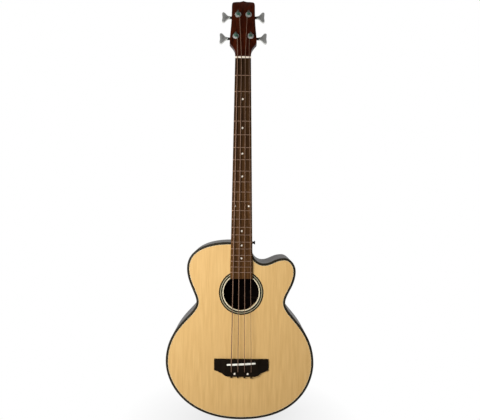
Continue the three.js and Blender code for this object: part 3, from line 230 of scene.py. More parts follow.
def inset(points: Ring, distance: float, closed: bool = True) -> Ring:
    """Offsets an anticlockwise run of points inwards.

    Args:
        points: The run, in the plane of x and y.
        distance: How far the offset lies inside.
        closed: Whether the last point joins the first.

    Returns:
        One offset point for each point.
    """
    made = []
    for i, p in enumerate(points):
        before = points[i - 1] if i or closed else None
        after = points[(i + 1) % len(points)] if i + 1 < len(points) or closed else None
        sides = [pair for pair in ((before, p), (p, after)) if None not in pair]
        normals = [Vector((a.y - b.y, b.x - a.x, 0)).normalized() for a, b in sides]
        lean = normals[0]
        if len(normals) == 2:
            lean = (normals[0] + normals[1]) / (1 + normals[0].dot(normals[1]))
        made.append(p + lean * distance)
    return made


def rounded(points: Ring, reach: float, steps: int = 5) -> Ring:
    """Rounds the corners of a run of points.

    Args:
        points: The run.
        reach: How far from a corner its rounding starts.
        steps: The steps of each rounding.

    Returns:
        The rounded run, with its ends kept.
    """
    made = [points[0]]
    for before, corner, after in zip(points, points[1:], points[2:]):
        into, out = (
            corner + (end - corner).normalized() * min(reach, (end - corner).length / 2)
            for end in (before, after)
        )
        made.extend(quarter(into, corner, out, steps))
    return [*made, points[-1]]


@dataclass
class Skin:
    """The points and faces of one closed surface."""

    points: Ring
    faces: list[tuple[int, ...]]

    def joined(self, other: "Skin") -> "Skin":
        """Gathers this surface and another into one."""
        faces = [tuple(i + len(self.points) for i in face) for face in other.faces]
        return Skin(self.points + other.points, self.faces + faces)

    def placed(self, matrix: Matrix) -> "Skin":
        """Moves the surface by a matrix."""
        return Skin([matrix @ p for p in self.points], self.faces)


def loft(rings: Sequence[Ring], closed: bool = False) -> Skin:
    """Skins a row of rings with the same number of points.

    Args:
        rings: The rings, in order.
        closed: Whether the last ring joins the first; otherwise both ends are capped.

    Returns:
        The closed surface.
    """
    size = len(rings[0])
    faces: list[tuple[int, ...]] = []
    for r in range(len(rings) if closed else len(rings) - 1):
        here, there = r * size, (r + 1) % len(rings) * size
        for i in range(size):
            j = (i + 1) % size
            faces.append((here + i, here + j, there + j, there + i))
    if not closed:
        faces.append(tuple(reversed(range(size))))
        faces.append(tuple(range(size * (len(rings) - 1), size * len(rings))))
    return Skin([p for ring in rings for p in ring], faces)


def turned(profile: Pairs, count: int = 40, closed: bool = False) -> Skin:
    """Turns pairs of radius and height about z, as a solid or, when closed, as a hollow ring."""
    rings = [[p + Vector((0, 0, z)) for p in circle(r, count=count)] for r, z in profile]
    return loft(rings, closed)


def layered(outline: Ring, levels: Sequence[tuple[float, Height]]) -> Skin:
    """Stacks offsets of one outline, so that its edges can be rounded.

    Args:
        outline: The outline, anticlockwise.
        levels: Pairs of inset and height, from one face to the other.

    Returns:
        The closed surface.
    """
    rings = []
    for distance, height in levels:
        ring = inset(outline, distance) if distance else outline
        rings.append([raised(p, height) for p in ring])
    return loft(rings)


def pierced(outline: Ring, holes: Sequence[Ring], top: Height, bottom: Height) -> Skin:
    """Makes a plate with holes.

    Args:
        outline: The plate's outline, anticlockwise.
        holes: A ring of points for each hole, inside the outline.
        top: The height of the upper face.
        bottom: The height of the lower face.

    Returns:
        The closed surface.
    """
    loops = [outline, *holes]
    flat = [p for loop in loops for p in loop]
    caps = geometry.tessellate_polygon(loops)
    count = len(flat)
    faces = [tuple(f) for f in caps] + [tuple(i + count for i in reversed(f)) for f in caps]
    first = 0
    for loop in loops:
        for i in range(len(loop)):
            a, b = first + i, first + (i + 1) % len(loop)
            faces.append((a, b, b + count, a + count))
        first += len(loop)
    return Skin([raised(p, height) for height in (top, bottom) for p in flat], faces)


def swept(points: Ring, profile: Sequence[tuple[float, Height]], closed: bool = True) -> Skin:
    """Sweeps a profile round a run of points.

    Args:
        points: The run, anticlockwise.
        profile: Pairs of inset and height.
        closed: Whether the run is closed.

    Returns:
        The closed surface.
    """
    rows = [inset(points, distance, closed) for distance, _ in profile]
    heights = [height for _, height in profile]
    return loft([[raised(*pair) for pair in zip(each, heights)] for each in zip(*rows)], closed)


def tube(points: Ring, radius: float, sides: int = 14) -> Skin:
    """Makes a round tube along points, without twist.

    Args:
        points: The tube's middle line.
        radius: The tube's radius.
        sides: How many sides its round has.

    Returns:
        The closed surface.
    """
    rings = []
    side = None
    for i, p in enumerate(points):
        heading = (points[min(i + 1, len(points) - 1)] - points[max(i - 1, 0)]).normalized()
        if side is None:
            side = heading.orthogonal()
        side = (side - heading * side.dot(heading)).normalized()
        other = heading.cross(side)
        turns = (2 * math.pi * k / sides for k in range(sides))
        rings.append([p + (side * math.cos(t) + other * math.sin(t)) * radius for t in turns])
    return loft(rings)


# ---- finishes ----


def linear(colour: Colour) -> tuple[float, float, float, float]:
    """Turns a written colour of 0 to 255 into scene light."""
    parts = [c / 255 for c in colour]
    return (*(c / 12.92 if c <= 0.04045 else ((c + 0.055) / 1.055) ** 2.4 for c in parts), 1.0)


class Tree:
    """Adds and wires the nodes of one shader tree."""

    def __init__(self, tree: bpy.types.NodeTree) -> None:
        """Takes the tree and clears it."""
        self.tree = tree
        tree.nodes.clear()

    def feed(self, node: bpy.types.Node, inputs: dict[str | int, object]) -> None:
        """Sets or links inputs of a node.

        Args:
            node: The node.
            inputs: Values or sockets by the input's name or number.
        """
        for name, value in inputs.items():
            if isinstance(value, Socket):
                self.tree.links.new(value, node.inputs[name])
            else:
                node.inputs[name].default_value = value

    def add(self, kind: str, inputs: dict | None = None, **settings: object) -> bpy.types.Node:
        """Adds a node.

        Args:
            kind: The node's type, without its common prefix.
            inputs: Values or sockets for its inputs, by name or number.
            **settings: Properties of the node.

        Returns:
            The node.
        """
        node = self.tree.nodes.new(f"ShaderNode{kind}" if not kind.startswith("Node") else kind)
        for name, value in settings.items():
            setattr(node, name, value)
        self.feed(node, inputs or {})
        return node

    def maths(self, operation: str, *values: Socket | float) -> Socket:
        """Adds one sum and gives its result."""
        return self.add("Math", dict(enumerate(values)), operation=operation).outputs[0]

    def vectors(self, operation: str, *values: Socket | Sequence[float]) -> Socket:
        """Adds one sum of vectors and gives its result."""
        return self.add("VectorMath", dict(enumerate(values)), operation=operation).outputs[0]

    def mixed(self, share: Socket, first: Socket, second: Socket) -> Socket:
        """Mixes two colours and gives the result."""
        return self.add("Mix", {0: share, 6: first, 7: second}, data_type="RGBA").outputs[2]

    def ranged(self, value: Socket, start: float, end: float, low: object, high: object) -> Socket:
        """Maps a value's range onto another and gives the result."""
        return self.add("MapRange", {0: value, 1: start, 2: end, 3: low, 4: high}).outputs[0]

    def texture(
        self, shader: bpy.types.Node, effect: bpy.types.Node, strength: float, depth: float
    ) -> None:
        """Feeds a shader an effect's colour and, as relief, its height.

        Args:
            shader: The material's shader.
            effect: The node of the effect's group.
            strength: The strength of the relief.
            depth: The depth of the relief in metres.
        """
        relief = {"Strength": strength, "Distance": depth, "Height": effect.outputs["Height"]}
        normal = self.add("Bump", relief).outputs[0]
        self.feed(shader, {"Base Color": effect.outputs["Color"], "Normal": normal})


def sockets(floats: str, colours: str = "") -> dict[str, str]:
    """Lists a group's inputs: its place, then the numbers and the colours named in two strings."""
    kinds = dict.fromkeys(floats.split(), "Float") | dict.fromkeys(colours.split(), "Color")
    return {"Vector": "Vector"} | kinds


def shared_group(
    name: str, inputs: dict[str, str], outputs: dict[str, str]
) -> tuple[Tree, Sequence[Socket], bpy.types.Node]:
    """Starts a shader group with named sockets.

    Args:
        name: The group's name.
        inputs: Socket kinds by input name.
        outputs: Socket kinds by output name.

    Returns:
        The tree, the values given to the group and the node of its results.
    """
    group = bpy.data.node_groups.new(name, "ShaderNodeTree")
    for direction, kinds in (("INPUT", inputs), ("OUTPUT", outputs)):
        for label, kind in kinds.items():
            group.interface.new_socket(label, in_out=direction, socket_type=f"NodeSocket{kind}")
    tree = Tree(group)
    return tree, tree.add("NodeGroupInput").outputs, tree.add("NodeGroupOutput")


def make_wood_grain() -> bpy.types.NodeTree:
    """Builds the group of straight wood grain: fine year lines inside broad streaks along z, with a
    painted sheen.

    Its last number paints a sheen: the colour gains that many times itself over each metre down the
    grain, so the wood is painted lighter further down.

    Returns:
        The group.
    """
    kinds = sockets("Lines Streaks Contrast Paler", "Light Dark")
    tree, given, result = shared_group("wood_grain", kinds, {"Color": "Color", "Height": "Float"})
    layers = []
    for density, stretch, detail in (("Lines", 0.02, 3.0), ("Streaks", 0.06, 4.0)):
        along = tree.maths("MULTIPLY", given[density], stretch)
        scale = tree.add("CombineXYZ", {0: given[density], 1: given[density], 2: along})
        place = tree.vectors("MULTIPLY", given["Vector"], scale.outputs[0])
        noise = tree.add("TexNoise", {"Vector": place, "Scale": 1.0, "Detail": detail})
        layers.append(noise.outputs[0])
    fine, broad = layers
    fine_share = 0.45
    both = tree.maths(
        "ADD", tree.maths("MULTIPLY", fine, fine_share),
        tree.maths("MULTIPLY", broad, 1 - fine_share),
    )
    spread = tree.maths("MULTIPLY", tree.maths("SUBTRACT", both, 0.5), given["Contrast"])
    share = tree.add("Clamp", {0: tree.maths("ADD", spread, 0.5)}).outputs[0]
    colour = tree.mixed(share, given["Dark"], given["Light"])
    # Painted sheen: the colour is scaled up further down z, so the wood is painted lighter lower
    # down.
    height = tree.add("SeparateXYZ", {0: given["Vector"]}).outputs[2]
    tone = tree.maths("SUBTRACT", 1.0, tree.maths("MULTIPLY", height, given["Paler"]))
    sheen_toned = tree.add("VectorMath", {0: colour, "Scale": tone}, operation="SCALE").outputs[0]
    tree.feed(result, {"Color": sheen_toned, "Height": fine})
    return tree.tree


def make_handling() -> bpy.types.NodeTree:
    """Builds the group of light handling marks, which vary how polished a surface is.

    Returns:
        The group.
    """
    kinds = sockets("Marks Polished Rubbed")
    tree, given, result = shared_group("handling", kinds, {"Roughness": "Float"})
    place = {"Vector": given["Vector"], "Scale": given["Marks"], "Detail": 3.0}
    noise = tree.add("TexNoise", place).outputs[0]
    faint, full = 0.35, 0.7
    spread = tree.ranged(noise, faint, full, given["Polished"], given["Rubbed"])
    tree.feed(result, {"Roughness": spread})
    return tree.tree


def make_wrapping() -> bpy.types.NodeTree:
    """Builds the group of a thread wound tightly round a wire that runs along z, with painted shade
    in its grooves and a painted highlight on its crests.

    Returns:
        The group.
    """
    kinds = sockets("Turns", "Light Dark")
    tree, given, result = shared_group("wrapping", kinds, {"Color": "Color", "Height": "Float"})
    parts = tree.add("SeparateXYZ", {0: given["Vector"]}).outputs
    slant = 0.2
    slanted = tree.maths("ADD", parts[2], tree.maths("MULTIPLY", parts[0], slant))
    ridge = tree.maths("PINGPONG", tree.maths("MULTIPLY", slanted, given["Turns"]), 1.0)
    # Painted light: Dark is the painted shade in the grooves, Light the painted highlight on the
    # crests.
    colour = tree.mixed(ridge, given["Dark"], given["Light"])
    tree.feed(result, {"Color": colour, "Height": ridge})
    return tree.tree


GRAIN_AND_SHEEN = make_wood_grain()
HANDLING = make_handling()
WRAPPING_AND_SHADE = make_wrapping()


@dataclass(frozen=True)
class Finish:
    """One surface finish and the record's slot that it stands for."""

    name: str
    slot: str
    colour: Colour
    roughness: float
    rubbed: float = 0.08
    marks: float = 35.0
    metallic: float = 0.0
    coat: float = 0.0
    coat_roughness: float = 0.08
    specular: float = 0.5
    tint: Colour = (255, 255, 255)

    def paint(self, tree: Tree, place: Socket, shader: bpy.types.Node) -> None:
        """Sets the plain colour on the shader's own socket."""
        tree.feed(shader, {"Base Color": linear(self.colour)})

    @cache
    def build(self) -> bpy.types.Material:
        """Builds the material once and keeps it.

        Returns:
            The material.
        """
        material = bpy.data.materials.new(self.name)
        material.use_nodes = True
        tree = Tree(material.node_tree)
        place = tree.add("TexCoord").outputs["Object"]
        handling = tree.add("Group", {
            "Vector": place, "Marks": self.marks, "Polished": self.roughness,
            "Rubbed": self.roughness + self.rubbed,
        }, node_tree=HANDLING)
        shader = tree.add("BsdfPrincipled", {
            "Metallic": self.metallic, "Roughness": handling.outputs["Roughness"],
            "Coat Weight": self.coat, "Coat Roughness": self.coat_roughness,
            "Specular IOR Level": self.specular, "Specular Tint": linear(self.tint),
        })
        self.paint(tree, place, shader)
        tree.add("OutputMaterial", {"Surface": shader.outputs[0]})
        return material


@dataclass(frozen=True)
class Wood(Finish):
    """Wood with straight grain under oil or lacquer, and an optional painted sheen along it."""

    dark: Colour = (0, 0, 0)
    lines: float = 500.0
    streaks: float = 70.0
    contrast: float = 1.2
    pores: float = 0.05
    pore_depth: float = 0.0003
    grain: Grain = Grain.ALONG
    matched: bool = False
    # Painted sheen: the colour's gain per metre down the grain; 0 paints none.
    paler: float = 0.0

    def paint(self, tree: Tree, place: Socket, shader: bpy.types.Node) -> None:
        """Lays the grain into the colour and, faintly, into the surface, and paints any sheen along
        the grain.

        Args:
            tree: The material's tree.
            place: The point on the piece.
            shader: The material's shader.
        """
        if self.matched:
            place = tree.vectors("ABSOLUTE", place)
        lay = Vector(math.radians(a) for a in self.grain.value)
        grain = tree.add("Group", {
            "Vector": tree.add("Mapping", {"Vector": place, "Rotation": lay}).outputs[0],
            "Lines": self.lines, "Streaks": self.streaks, "Contrast": self.contrast,
            "Paler": self.paler, "Light": linear(self.colour), "Dark": linear(self.dark),
        }, node_tree=GRAIN_AND_SHEEN)
        tree.texture(shader, grain, self.pores, self.pore_depth)


@dataclass(frozen=True)
class Wrapped(Finish):
    """A thread or wire wound round a core, with painted shade in its grooves and a painted
    highlight on its crests.
    """

    # dark is the colour painted as shade in the grooves, and colour the one painted on the lit
    # crests.
    dark: Colour = (0, 0, 0)
    turns: float = 2200.0
    relief: float = 0.4
    ridge_height: float = 0.0001

    def paint(self, tree: Tree, place: Socket, shader: bpy.types.Node) -> None:
        """Winds the thread's ridges into the surface, and into the colour as painted shade and
        highlight.

        Args:
            tree: The material's tree.
            place: The point on the piece.
            shader: The material's shader.
        """
        wrap = tree.add("Group", {
            "Vector": place, "Turns": self.turns,
            "Light": linear(self.colour), "Dark": linear(self.dark),
        }, node_tree=WRAPPING_AND_SHADE)
        tree.texture(shader, wrap, self.relief, self.ridge_height)


SPRUCE = Wood(
    "spruce_top", "spruce_top", (240, 200, 134), 0.42, dark=(210, 165, 99), lines=900,
    streaks=150, contrast=1.8, specular=0.2, matched=True,
)
BARE_SPRUCE = Wood("bare_spruce", "brace_wood", (206, 172, 122), 0.75, dark=(168, 128, 82))
BARE_CEDAR = Wood("bare_cedar", "lining_wood", (150, 104, 70), 0.8, dark=(104, 66, 42))
DARK_RIB = Wood(
    "dark_gloss_rib", "gloss_sides", (42, 32, 24), 0.36, dark=(24, 18, 13), lines=420,
    streaks=40, specular=0.09, rubbed=0.05, tint=(255, 232, 212),
)
DARK_BACK = Wood(
    "dark_gloss_back", "mahogany", (74, 34, 21), 0.32, dark=(40, 17, 11), lines=460,
    streaks=55, contrast=1.6, coat=0.3, specular=0.25, matched=True,
)
# Painted shade: the inside of the body is given near-black wood, as it lies in shade.
PLATE_IN_SHADE = Wood(
    "bare_plate", "mahogany", (19, 11, 9), 0.75, dark=(10, 6, 5), lines=400, specular=0.05,
)
SHADED_BRACE = Wood(
    "aged_brace", "brace_wood", (27, 17, 12), 0.8, dark=(15, 10, 7), specular=0.05,
)
NECK_WOOD = Wood(
    "neck_wood", "neck_wood", (70, 26, 15), 0.35, dark=(34, 11, 6), lines=420, streaks=45,
    contrast=1.9, specular=0.14,
)
VENEER = Wood(
    "head_veneer", "rosewood", (80, 29, 11), 0.3, dark=(22, 5, 2), lines=380, streaks=80,
    contrast=2.8, specular=0.08,
)
# The board is painted lighter towards the body, a painted sheen.
BOARD_WOOD = Wood(
    "board_wood", "fretboard_wood", (60, 39, 18), 0.6, dark=(25, 12, 4), lines=900,
    streaks=210, contrast=2.8, pores=0.18, specular=0.04, paler=3.8,
)
BRIDGE_WOOD = Wood(
    "bridge_wood", "ebony", (27, 18, 10), 0.5, dark=(9, 5, 2), lines=700, streaks=110,
    contrast=1.8, grain=Grain.ACROSS, specular=0.05,
)
CAP_WOOD = Wood("heel_cap_wood", "ebony", (30, 24, 21), 0.35, dark=(14, 11, 10), lines=600)
DARK_TRIM = Finish("dark_trim", "binding", (42, 37, 26), 0.38, rubbed=0.06, specular=0.08)
DARK_INLAY = Finish("dark_inlay", "inlay", (21, 19, 12), 0.35, specular=0.1)
CREAM_INLAY = Finish("cream_inlay", "inlay", (233, 219, 184), 0.32)
PALE_INLAY = Finish("pale_inlay", "inlay", (162, 154, 121), 0.35, specular=0.3)
BONE = Finish("bone", "bone", (246, 232, 212), 0.3)
SADDLE_BONE = Finish("saddle_bone", "bone", (255, 252, 240), 0.35)
PEARL = Finish("pearl", "pearl", (236, 225, 208), 0.2, coat=0.3)
CHROME = Finish("chrome", "chrome", (212, 212, 208), 0.5, marks=160.0, metallic=1.0)
POST_STEEL = Finish("post_steel", "steel", (122, 128, 122), 0.4, marks=160.0, metallic=1.0)
NICKEL = Finish("fret_wire", "steel", (146, 118, 98), 0.45, marks=120.0, metallic=1.0)
STEEL = Finish("rod_steel", "steel", (150, 151, 152), 0.4, metallic=1.0)
BRASS = Finish("ball_brass", "bronze", (64, 48, 28), 0.45, metallic=1.0)
# Wound string and silk: each pair is a lit and a shaded copy of one colour, painted along the
# turns.
BRONZE = Wrapped(
    "wound_bronze", "bronze", (152, 120, 98), 0.45, dark=(96, 71, 55), metallic=0.5,
)
SILK = Wrapped("green_silk", "silk", (64, 124, 100), 0.6, dark=(24, 70, 56), turns=3000.0)
PLASTIC = Finish("black_plastic", "black_plastic", (14, 14, 14), 0.22)


# ---- pieces ----


def linked(name: str, data: bpy.types.ID) -> bpy.types.Object:
    """Makes an object and links it to the scene.

    Args:
        name: The object's name.
        data: Its mesh, light or camera.

    Returns:
        The object.
    """
    obj = bpy.data.objects.new(name, data)
    bpy.context.scene.collection.objects.link(obj)
    return obj


def bare(name: str, skin: Skin) -> bpy.types.Object:
    """Makes an object from a surface, with its faces turned out and meeting points merged.

    Args:
        name: The object's name.
        skin: The surface, in the bench frame.

    Returns:
        The object, without a finish.
    """
    mesh = bpy.data.meshes.new(name)
    mesh.from_pydata([BENCH_TO_WORLD @ p * MM for p in skin.points], [], skin.faces)
    work = bmesh.new()
    work.from_mesh(mesh)
    bmesh.ops.remove_doubles(work, verts=work.verts, dist=WELD)
    bmesh.ops.recalc_face_normals(work, faces=work.faces)
    work.to_mesh(mesh)
    work.free()
    return linked(name, mesh)


def carved(obj: bpy.types.Object, *tools: Skin) -> bpy.types.Object:
    """Cuts surfaces out of an object and leaves it as plain mesh.

    Args:
        obj: The object.
        *tools: The surfaces to cut away.

    Returns:
        The same object.
    """
    cutters = [bare("cutter", tool) for tool in tools]
    for cutter in cutters:
        cut = obj.modifiers.new("cut", "BOOLEAN")
        cut.operation, cut.object, cut.solver = "DIFFERENCE", cutter, "EXACT"
    graph = bpy.context.evaluated_depsgraph_get()
    graph.update()
    mesh = bpy.data.meshes.new_from_object(obj.evaluated_get(graph), depsgraph=graph)
    used = [obj.data, *(cutter.data for cutter in cutters)]
    obj.modifiers.clear()
    obj.data = mesh
    for cutter in cutters:
        bpy.data.objects.remove(cutter)
    for old in used:
        bpy.data.meshes.remove(old)
    mesh.name = obj.name
    return obj


def finished(
    obj: bpy.types.Object, finish: Finish, body: str = Body.GUITAR.value,
    replaces: Sequence[str] = (), smooth: float = 32.0,
) -> bpy.types.Object:
    """Dresses a piece and fixes it to its body.

    Args:
        obj: The piece, in its place.
        finish: What it is made of.
        body: The body that it moves with.
        replaces: The solids that it stands for.
        smooth: The angle in degrees above which an edge stays sharp.

    Returns:
        The piece.
    """
    obj.data.materials.clear()
    obj.data.materials.append(finish.build())
    obj.data.shade_smooth()
    obj.data.set_sharp_from_angle(angle=math.radians(smooth))
    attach(obj, body)
    if replaces:
        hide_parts(*replaces)
    LOG.info("%s: %d faces, rides on %s", obj.name, len(obj.data.polygons), body)
    return obj


def piece(name: str, skin: Skin, finish: Finish, **extra: object) -> bpy.types.Object:
    """Makes, dresses and fixes a piece in one step."""
    return finished(bare(name, skin), finish, **extra)


# ---- the body ----


@dataclass(frozen=True)
class Rim:
    """The body's outline and its depth."""

    bass_curves: tuple = (
        (-26, -522),
        (-26, -522), (-155.2, -514), (-155.2, -597.6),
        (-155.2, -637.5), (-127.4, -670.9), (-127.4, -693.6),
        (-127.4, -730.6), (-214, -761.5), (-214, -862.7),
        (-214, -929.5), (-153, -1027), (0, -1027),
    )
    treble_curves: tuple = (
        (31, -522),
        (31, -530), (31, -538), (31, -545),
        (31, -569.8), (48.5, -582.2), (63.9, -582.2),
        (85.2, -582.2), (94.8, -566.3), (124.1, -566.3),
        (137.8, -566.3), (155.2, -581.9), (155.2, -605),
        (155.2, -644.9), (125.9, -670.9), (125.9, -693.6),
        (125.9, -730.6), (207.8, -765.7), (207.8, -866.9),
        (207.8, -918.1), (171.9, -1027), (0, -1027),
    )
    top: float = -522.0
    tail: float = -1027.0
    depth_at_neck: float = 100.0
    depth_at_tail: float = 118.0

    def bass(self) -> Ring:
        """Gives the bass half, from the neck to the tail."""
        return spline(self.bass_curves)

    def treble(self) -> Ring:
        """Gives the treble half, from the neck to the tail."""
        return spline(self.treble_curves)

    def outline(self) -> Ring:
        """Gives the whole outline, anticlockwise."""
        return [*self.bass(), *reversed(self.treble()[:-1])]

    def back(self, lift: float = 0.0) -> Callable[[Vector], float]:
        """Gives the height of the back's outer face, lifted into the body."""
        slope = (self.depth_at_tail - self.depth_at_neck) / (self.top - self.tail)
        return lambda p: -self.depth_at_neck - (self.top - p.y) * slope + lift


@dataclass(frozen=True)
class Soundbox:
    """The soundboard, back, ribs, bindings and purflings."""

    rim: Rim = Rim()
    top_thickness: float = 3.2
    back_thickness: float = 3.0
    bare_skin: float = 0.4
    plate_room: float = 0.1
    rib_thickness: float = 2.5
    binding_width: float = 6.6
    binding_height: float = 6.0
    edge_round: float = 1.2
    purfling: float = 0.6
    purfling_depth: float = 0.5
    purfling_proud: float = 0.06
    hole_at: float = -665.3
    hole_radius: float = 50.5
    lip: float = 1.0
    rosette_depth: float = 1.2
    rosette_proud: float = 0.02
    rosette_round: float = 0.25
    rosette_rings: tuple = (
        ("cream_inner", 50.5, 53.5, CREAM_INLAY), ("dark_inner", 53.5, 57.4, DARK_INLAY),
        ("pale", 57.4, 59.8, PALE_INLAY), ("dark_outer", 59.8, 63.6, DARK_INLAY),
    )
    wedge_half: float = 4.0
    wedge_depth: float = 1.0
    wedge_proud: float = 0.15

    def build(self) -> None:
        """Builds every outer piece of the body."""
        outline = self.rim.outline()
        edge = inset(outline, self.binding_width + self.plate_room)
        self.soundboard(edge)
        self.rosette()
        self.back_plate(edge)
        self.bindings(outline)
        self.ribs()

    def soundboard(self, edge: Ring) -> None:
        """Builds the soundboard, rebated for the rosette.

        Args:
            edge: The plate's outline, inside the binding.
        """
        outer, seat, low = self.rosette_rings[-1][2], -self.rosette_depth, -self.top_thickness
        corners = [(self.hole_radius, seat), (outer + self.lip, seat)]
        corners += [(outer + self.lip, low), (self.hole_radius, low)]
        rebate = turned(corners, HOLE_STEPS, closed=True)
        rebate = rebate.placed(Matrix.Translation((0, self.hole_at, 0)))
        hole = circle(outer, 0, self.hole_at, HOLE_STEPS)
        whole = pierced(edge, [hole], 0.0, low).joined(rebate)
        piece("spruce_soundboard", whole, SPRUCE, replaces=["soundboard"])

    def rosette(self) -> None:
        """Builds the inlaid rings round the soundhole."""
        place = Matrix.Translation((0, self.hole_at, 0))
        high, soft = self.rosette_proud, self.rosette_round
        for name, inner, outer, finish in self.rosette_rings:
            first = inner == self.hole_radius
            profile = [
                (inner, -self.rosette_depth), (outer, -self.rosette_depth), (outer, high),
                (inner + soft if first else inner, high), (inner, high - soft),
            ]
            ring = turned(profile, HOLE_STEPS, closed=True).placed(place)
            piece(f"rosette_{name}", ring, finish, replaces=["rosette"] if first else [])

    def back_plate(self, edge: Ring) -> None:
        """Builds the back and the bare wood on its inside, which is painted dark as shade.

        Args:
            edge: The plate's outline, inside the binding.
        """
        seam = self.rim.back(self.back_thickness - self.bare_skin)
        board = pierced(edge, [], seam, self.rim.back())
        piece("back_board", board, DARK_BACK, replaces=["back_plate"])
        inner = pierced(edge, [], self.rim.back(self.back_thickness), seam)
        piece("back_bare_face", inner, PLATE_IN_SHADE)

    def bindings(self, outline: Ring) -> None:
        """Builds both bindings, round at their outer edge, and the cream line inside each.

        Args:
            outline: The body's outline.
        """
        width, tall, soft = self.binding_width, self.binding_height, self.edge_round
        far, proud, deep = width + self.purfling, -self.purfling_proud, self.purfling_depth
        edge = [(0.0, tall), (0.0, soft), (ROUND * soft, ROUND * soft), (soft, 0.0)]
        edge += [(width, 0.0), (width, tall)]
        line = [(width, deep), (width, proud), (far, proud), (far, deep)]
        for name, face in (("top", lambda depth: -depth), ("back", self.rim.back)):
            binding = swept(outline, [(d, face(h)) for d, h in edge])
            piece(f"{name}_edge_binding", binding, DARK_TRIM, replaces=[f"{name}_binding"])
            purfling = swept(outline, [(d, face(h)) for d, h in line])
            piece(f"{name}_purfling", purfling, CREAM_INLAY)

    def ribs(self) -> None:
        """Builds the bent sides, the strip behind the heel and the wedge over the tail's seam."""
        thick, high = self.rib_thickness, -self.binding_height
        low = self.rim.back(self.binding_height)
        profile = [(0.0, high), (thick, high), (thick, low), (0.0, low)]
        bass, treble = self.rim.bass(), self.rim.treble()
        for name, run in (("bass", bass), ("treble", treble[::-1])):
            piece(f"rib_{name}", swept(run, profile, False), DARK_RIB, replaces=[f"side_{name}"])
        left, right, near = bass[0].x, treble[0].x - thick, bass[0].y
        strip = box(left, right, near - thick + SEAM, near)
        tail = self.rim.tail
        wedge = box(
            -self.wedge_half, self.wedge_half, tail - self.wedge_proud, tail + self.wedge_depth
        )
        levels = [(0.0, low), (0.0, high)]
        piece("rib_behind_heel", layered(strip, levels), DARK_RIB)
        piece("tail_wedge", layered(wedge, levels), DARK_TRIM)


# ---- the neck ----


@dataclass(frozen=True)
class Headstock:
    """The tilted head: its outline, veneer and wood."""

    veneer: float = 2.0
    thickness: float = 15.5
    throat_at: float = 11.0
    hole_radius: float = 5.3
    hole_reach: tuple = (-30.0, 10.0)
    face_edge: tuple = ((0, -0.5), (0.15, -0.15), (0.5, 0))
    back_edge: tuple = ((1.8, 0), (0.6, 0.5), (0, 1.6))
    half_curves: tuple = (
        (22.6, 0),
        (22.6, 5.3), (22.8, 10.7), (23.2, 16),
        (23.2, 27), (31.8, 38), (39, 46.5),
        (39, 86), (34.1, 86), (34.1, 172),
        (34.1, 179.1), (33.1, 183.5), (31.2, 185.2),
        (29.1, 186.9), (23.3, 187.8), (14, 187.8),
        (9.7, 187.8), (5, 189), (0, 191.5),
    )

    def outline(self, start: float = 0.0) -> Ring:
        """Gives the head's outline above a distance from the nut, anticlockwise."""
        half = [p for p in spline(self.half_curves, spacing=2.0) if p.y >= start - LEAST_STEP]
        return [*half, *(Vector((-p.x, p.y, 0)) for p in reversed(half[:-1]))]

    def build(self) -> None:
        """Builds the veneer on the head's face and the wood behind it."""
        bore = turned([(self.hole_radius, z) for z in self.hole_reach], count=32)
        holes = [bore.placed(tuner.seat()) for tuner in TUNERS]
        face = layered(self.outline(), [(0, -self.veneer), *self.face_edge]).placed(HEAD)
        veneer = carved(bare("head_veneer", face), *holes)
        finished(veneer, VENEER, replaces=["headstock_face"])
        levels = [(d, rise - self.thickness) for d, rise in self.back_edge]
        levels.append((0, -self.veneer - SEAM))
        wood = layered(self.outline(self.throat_at), levels).placed(HEAD)
        finished(carved(bare("head_wood", wood), *holes), NECK_WOOD)


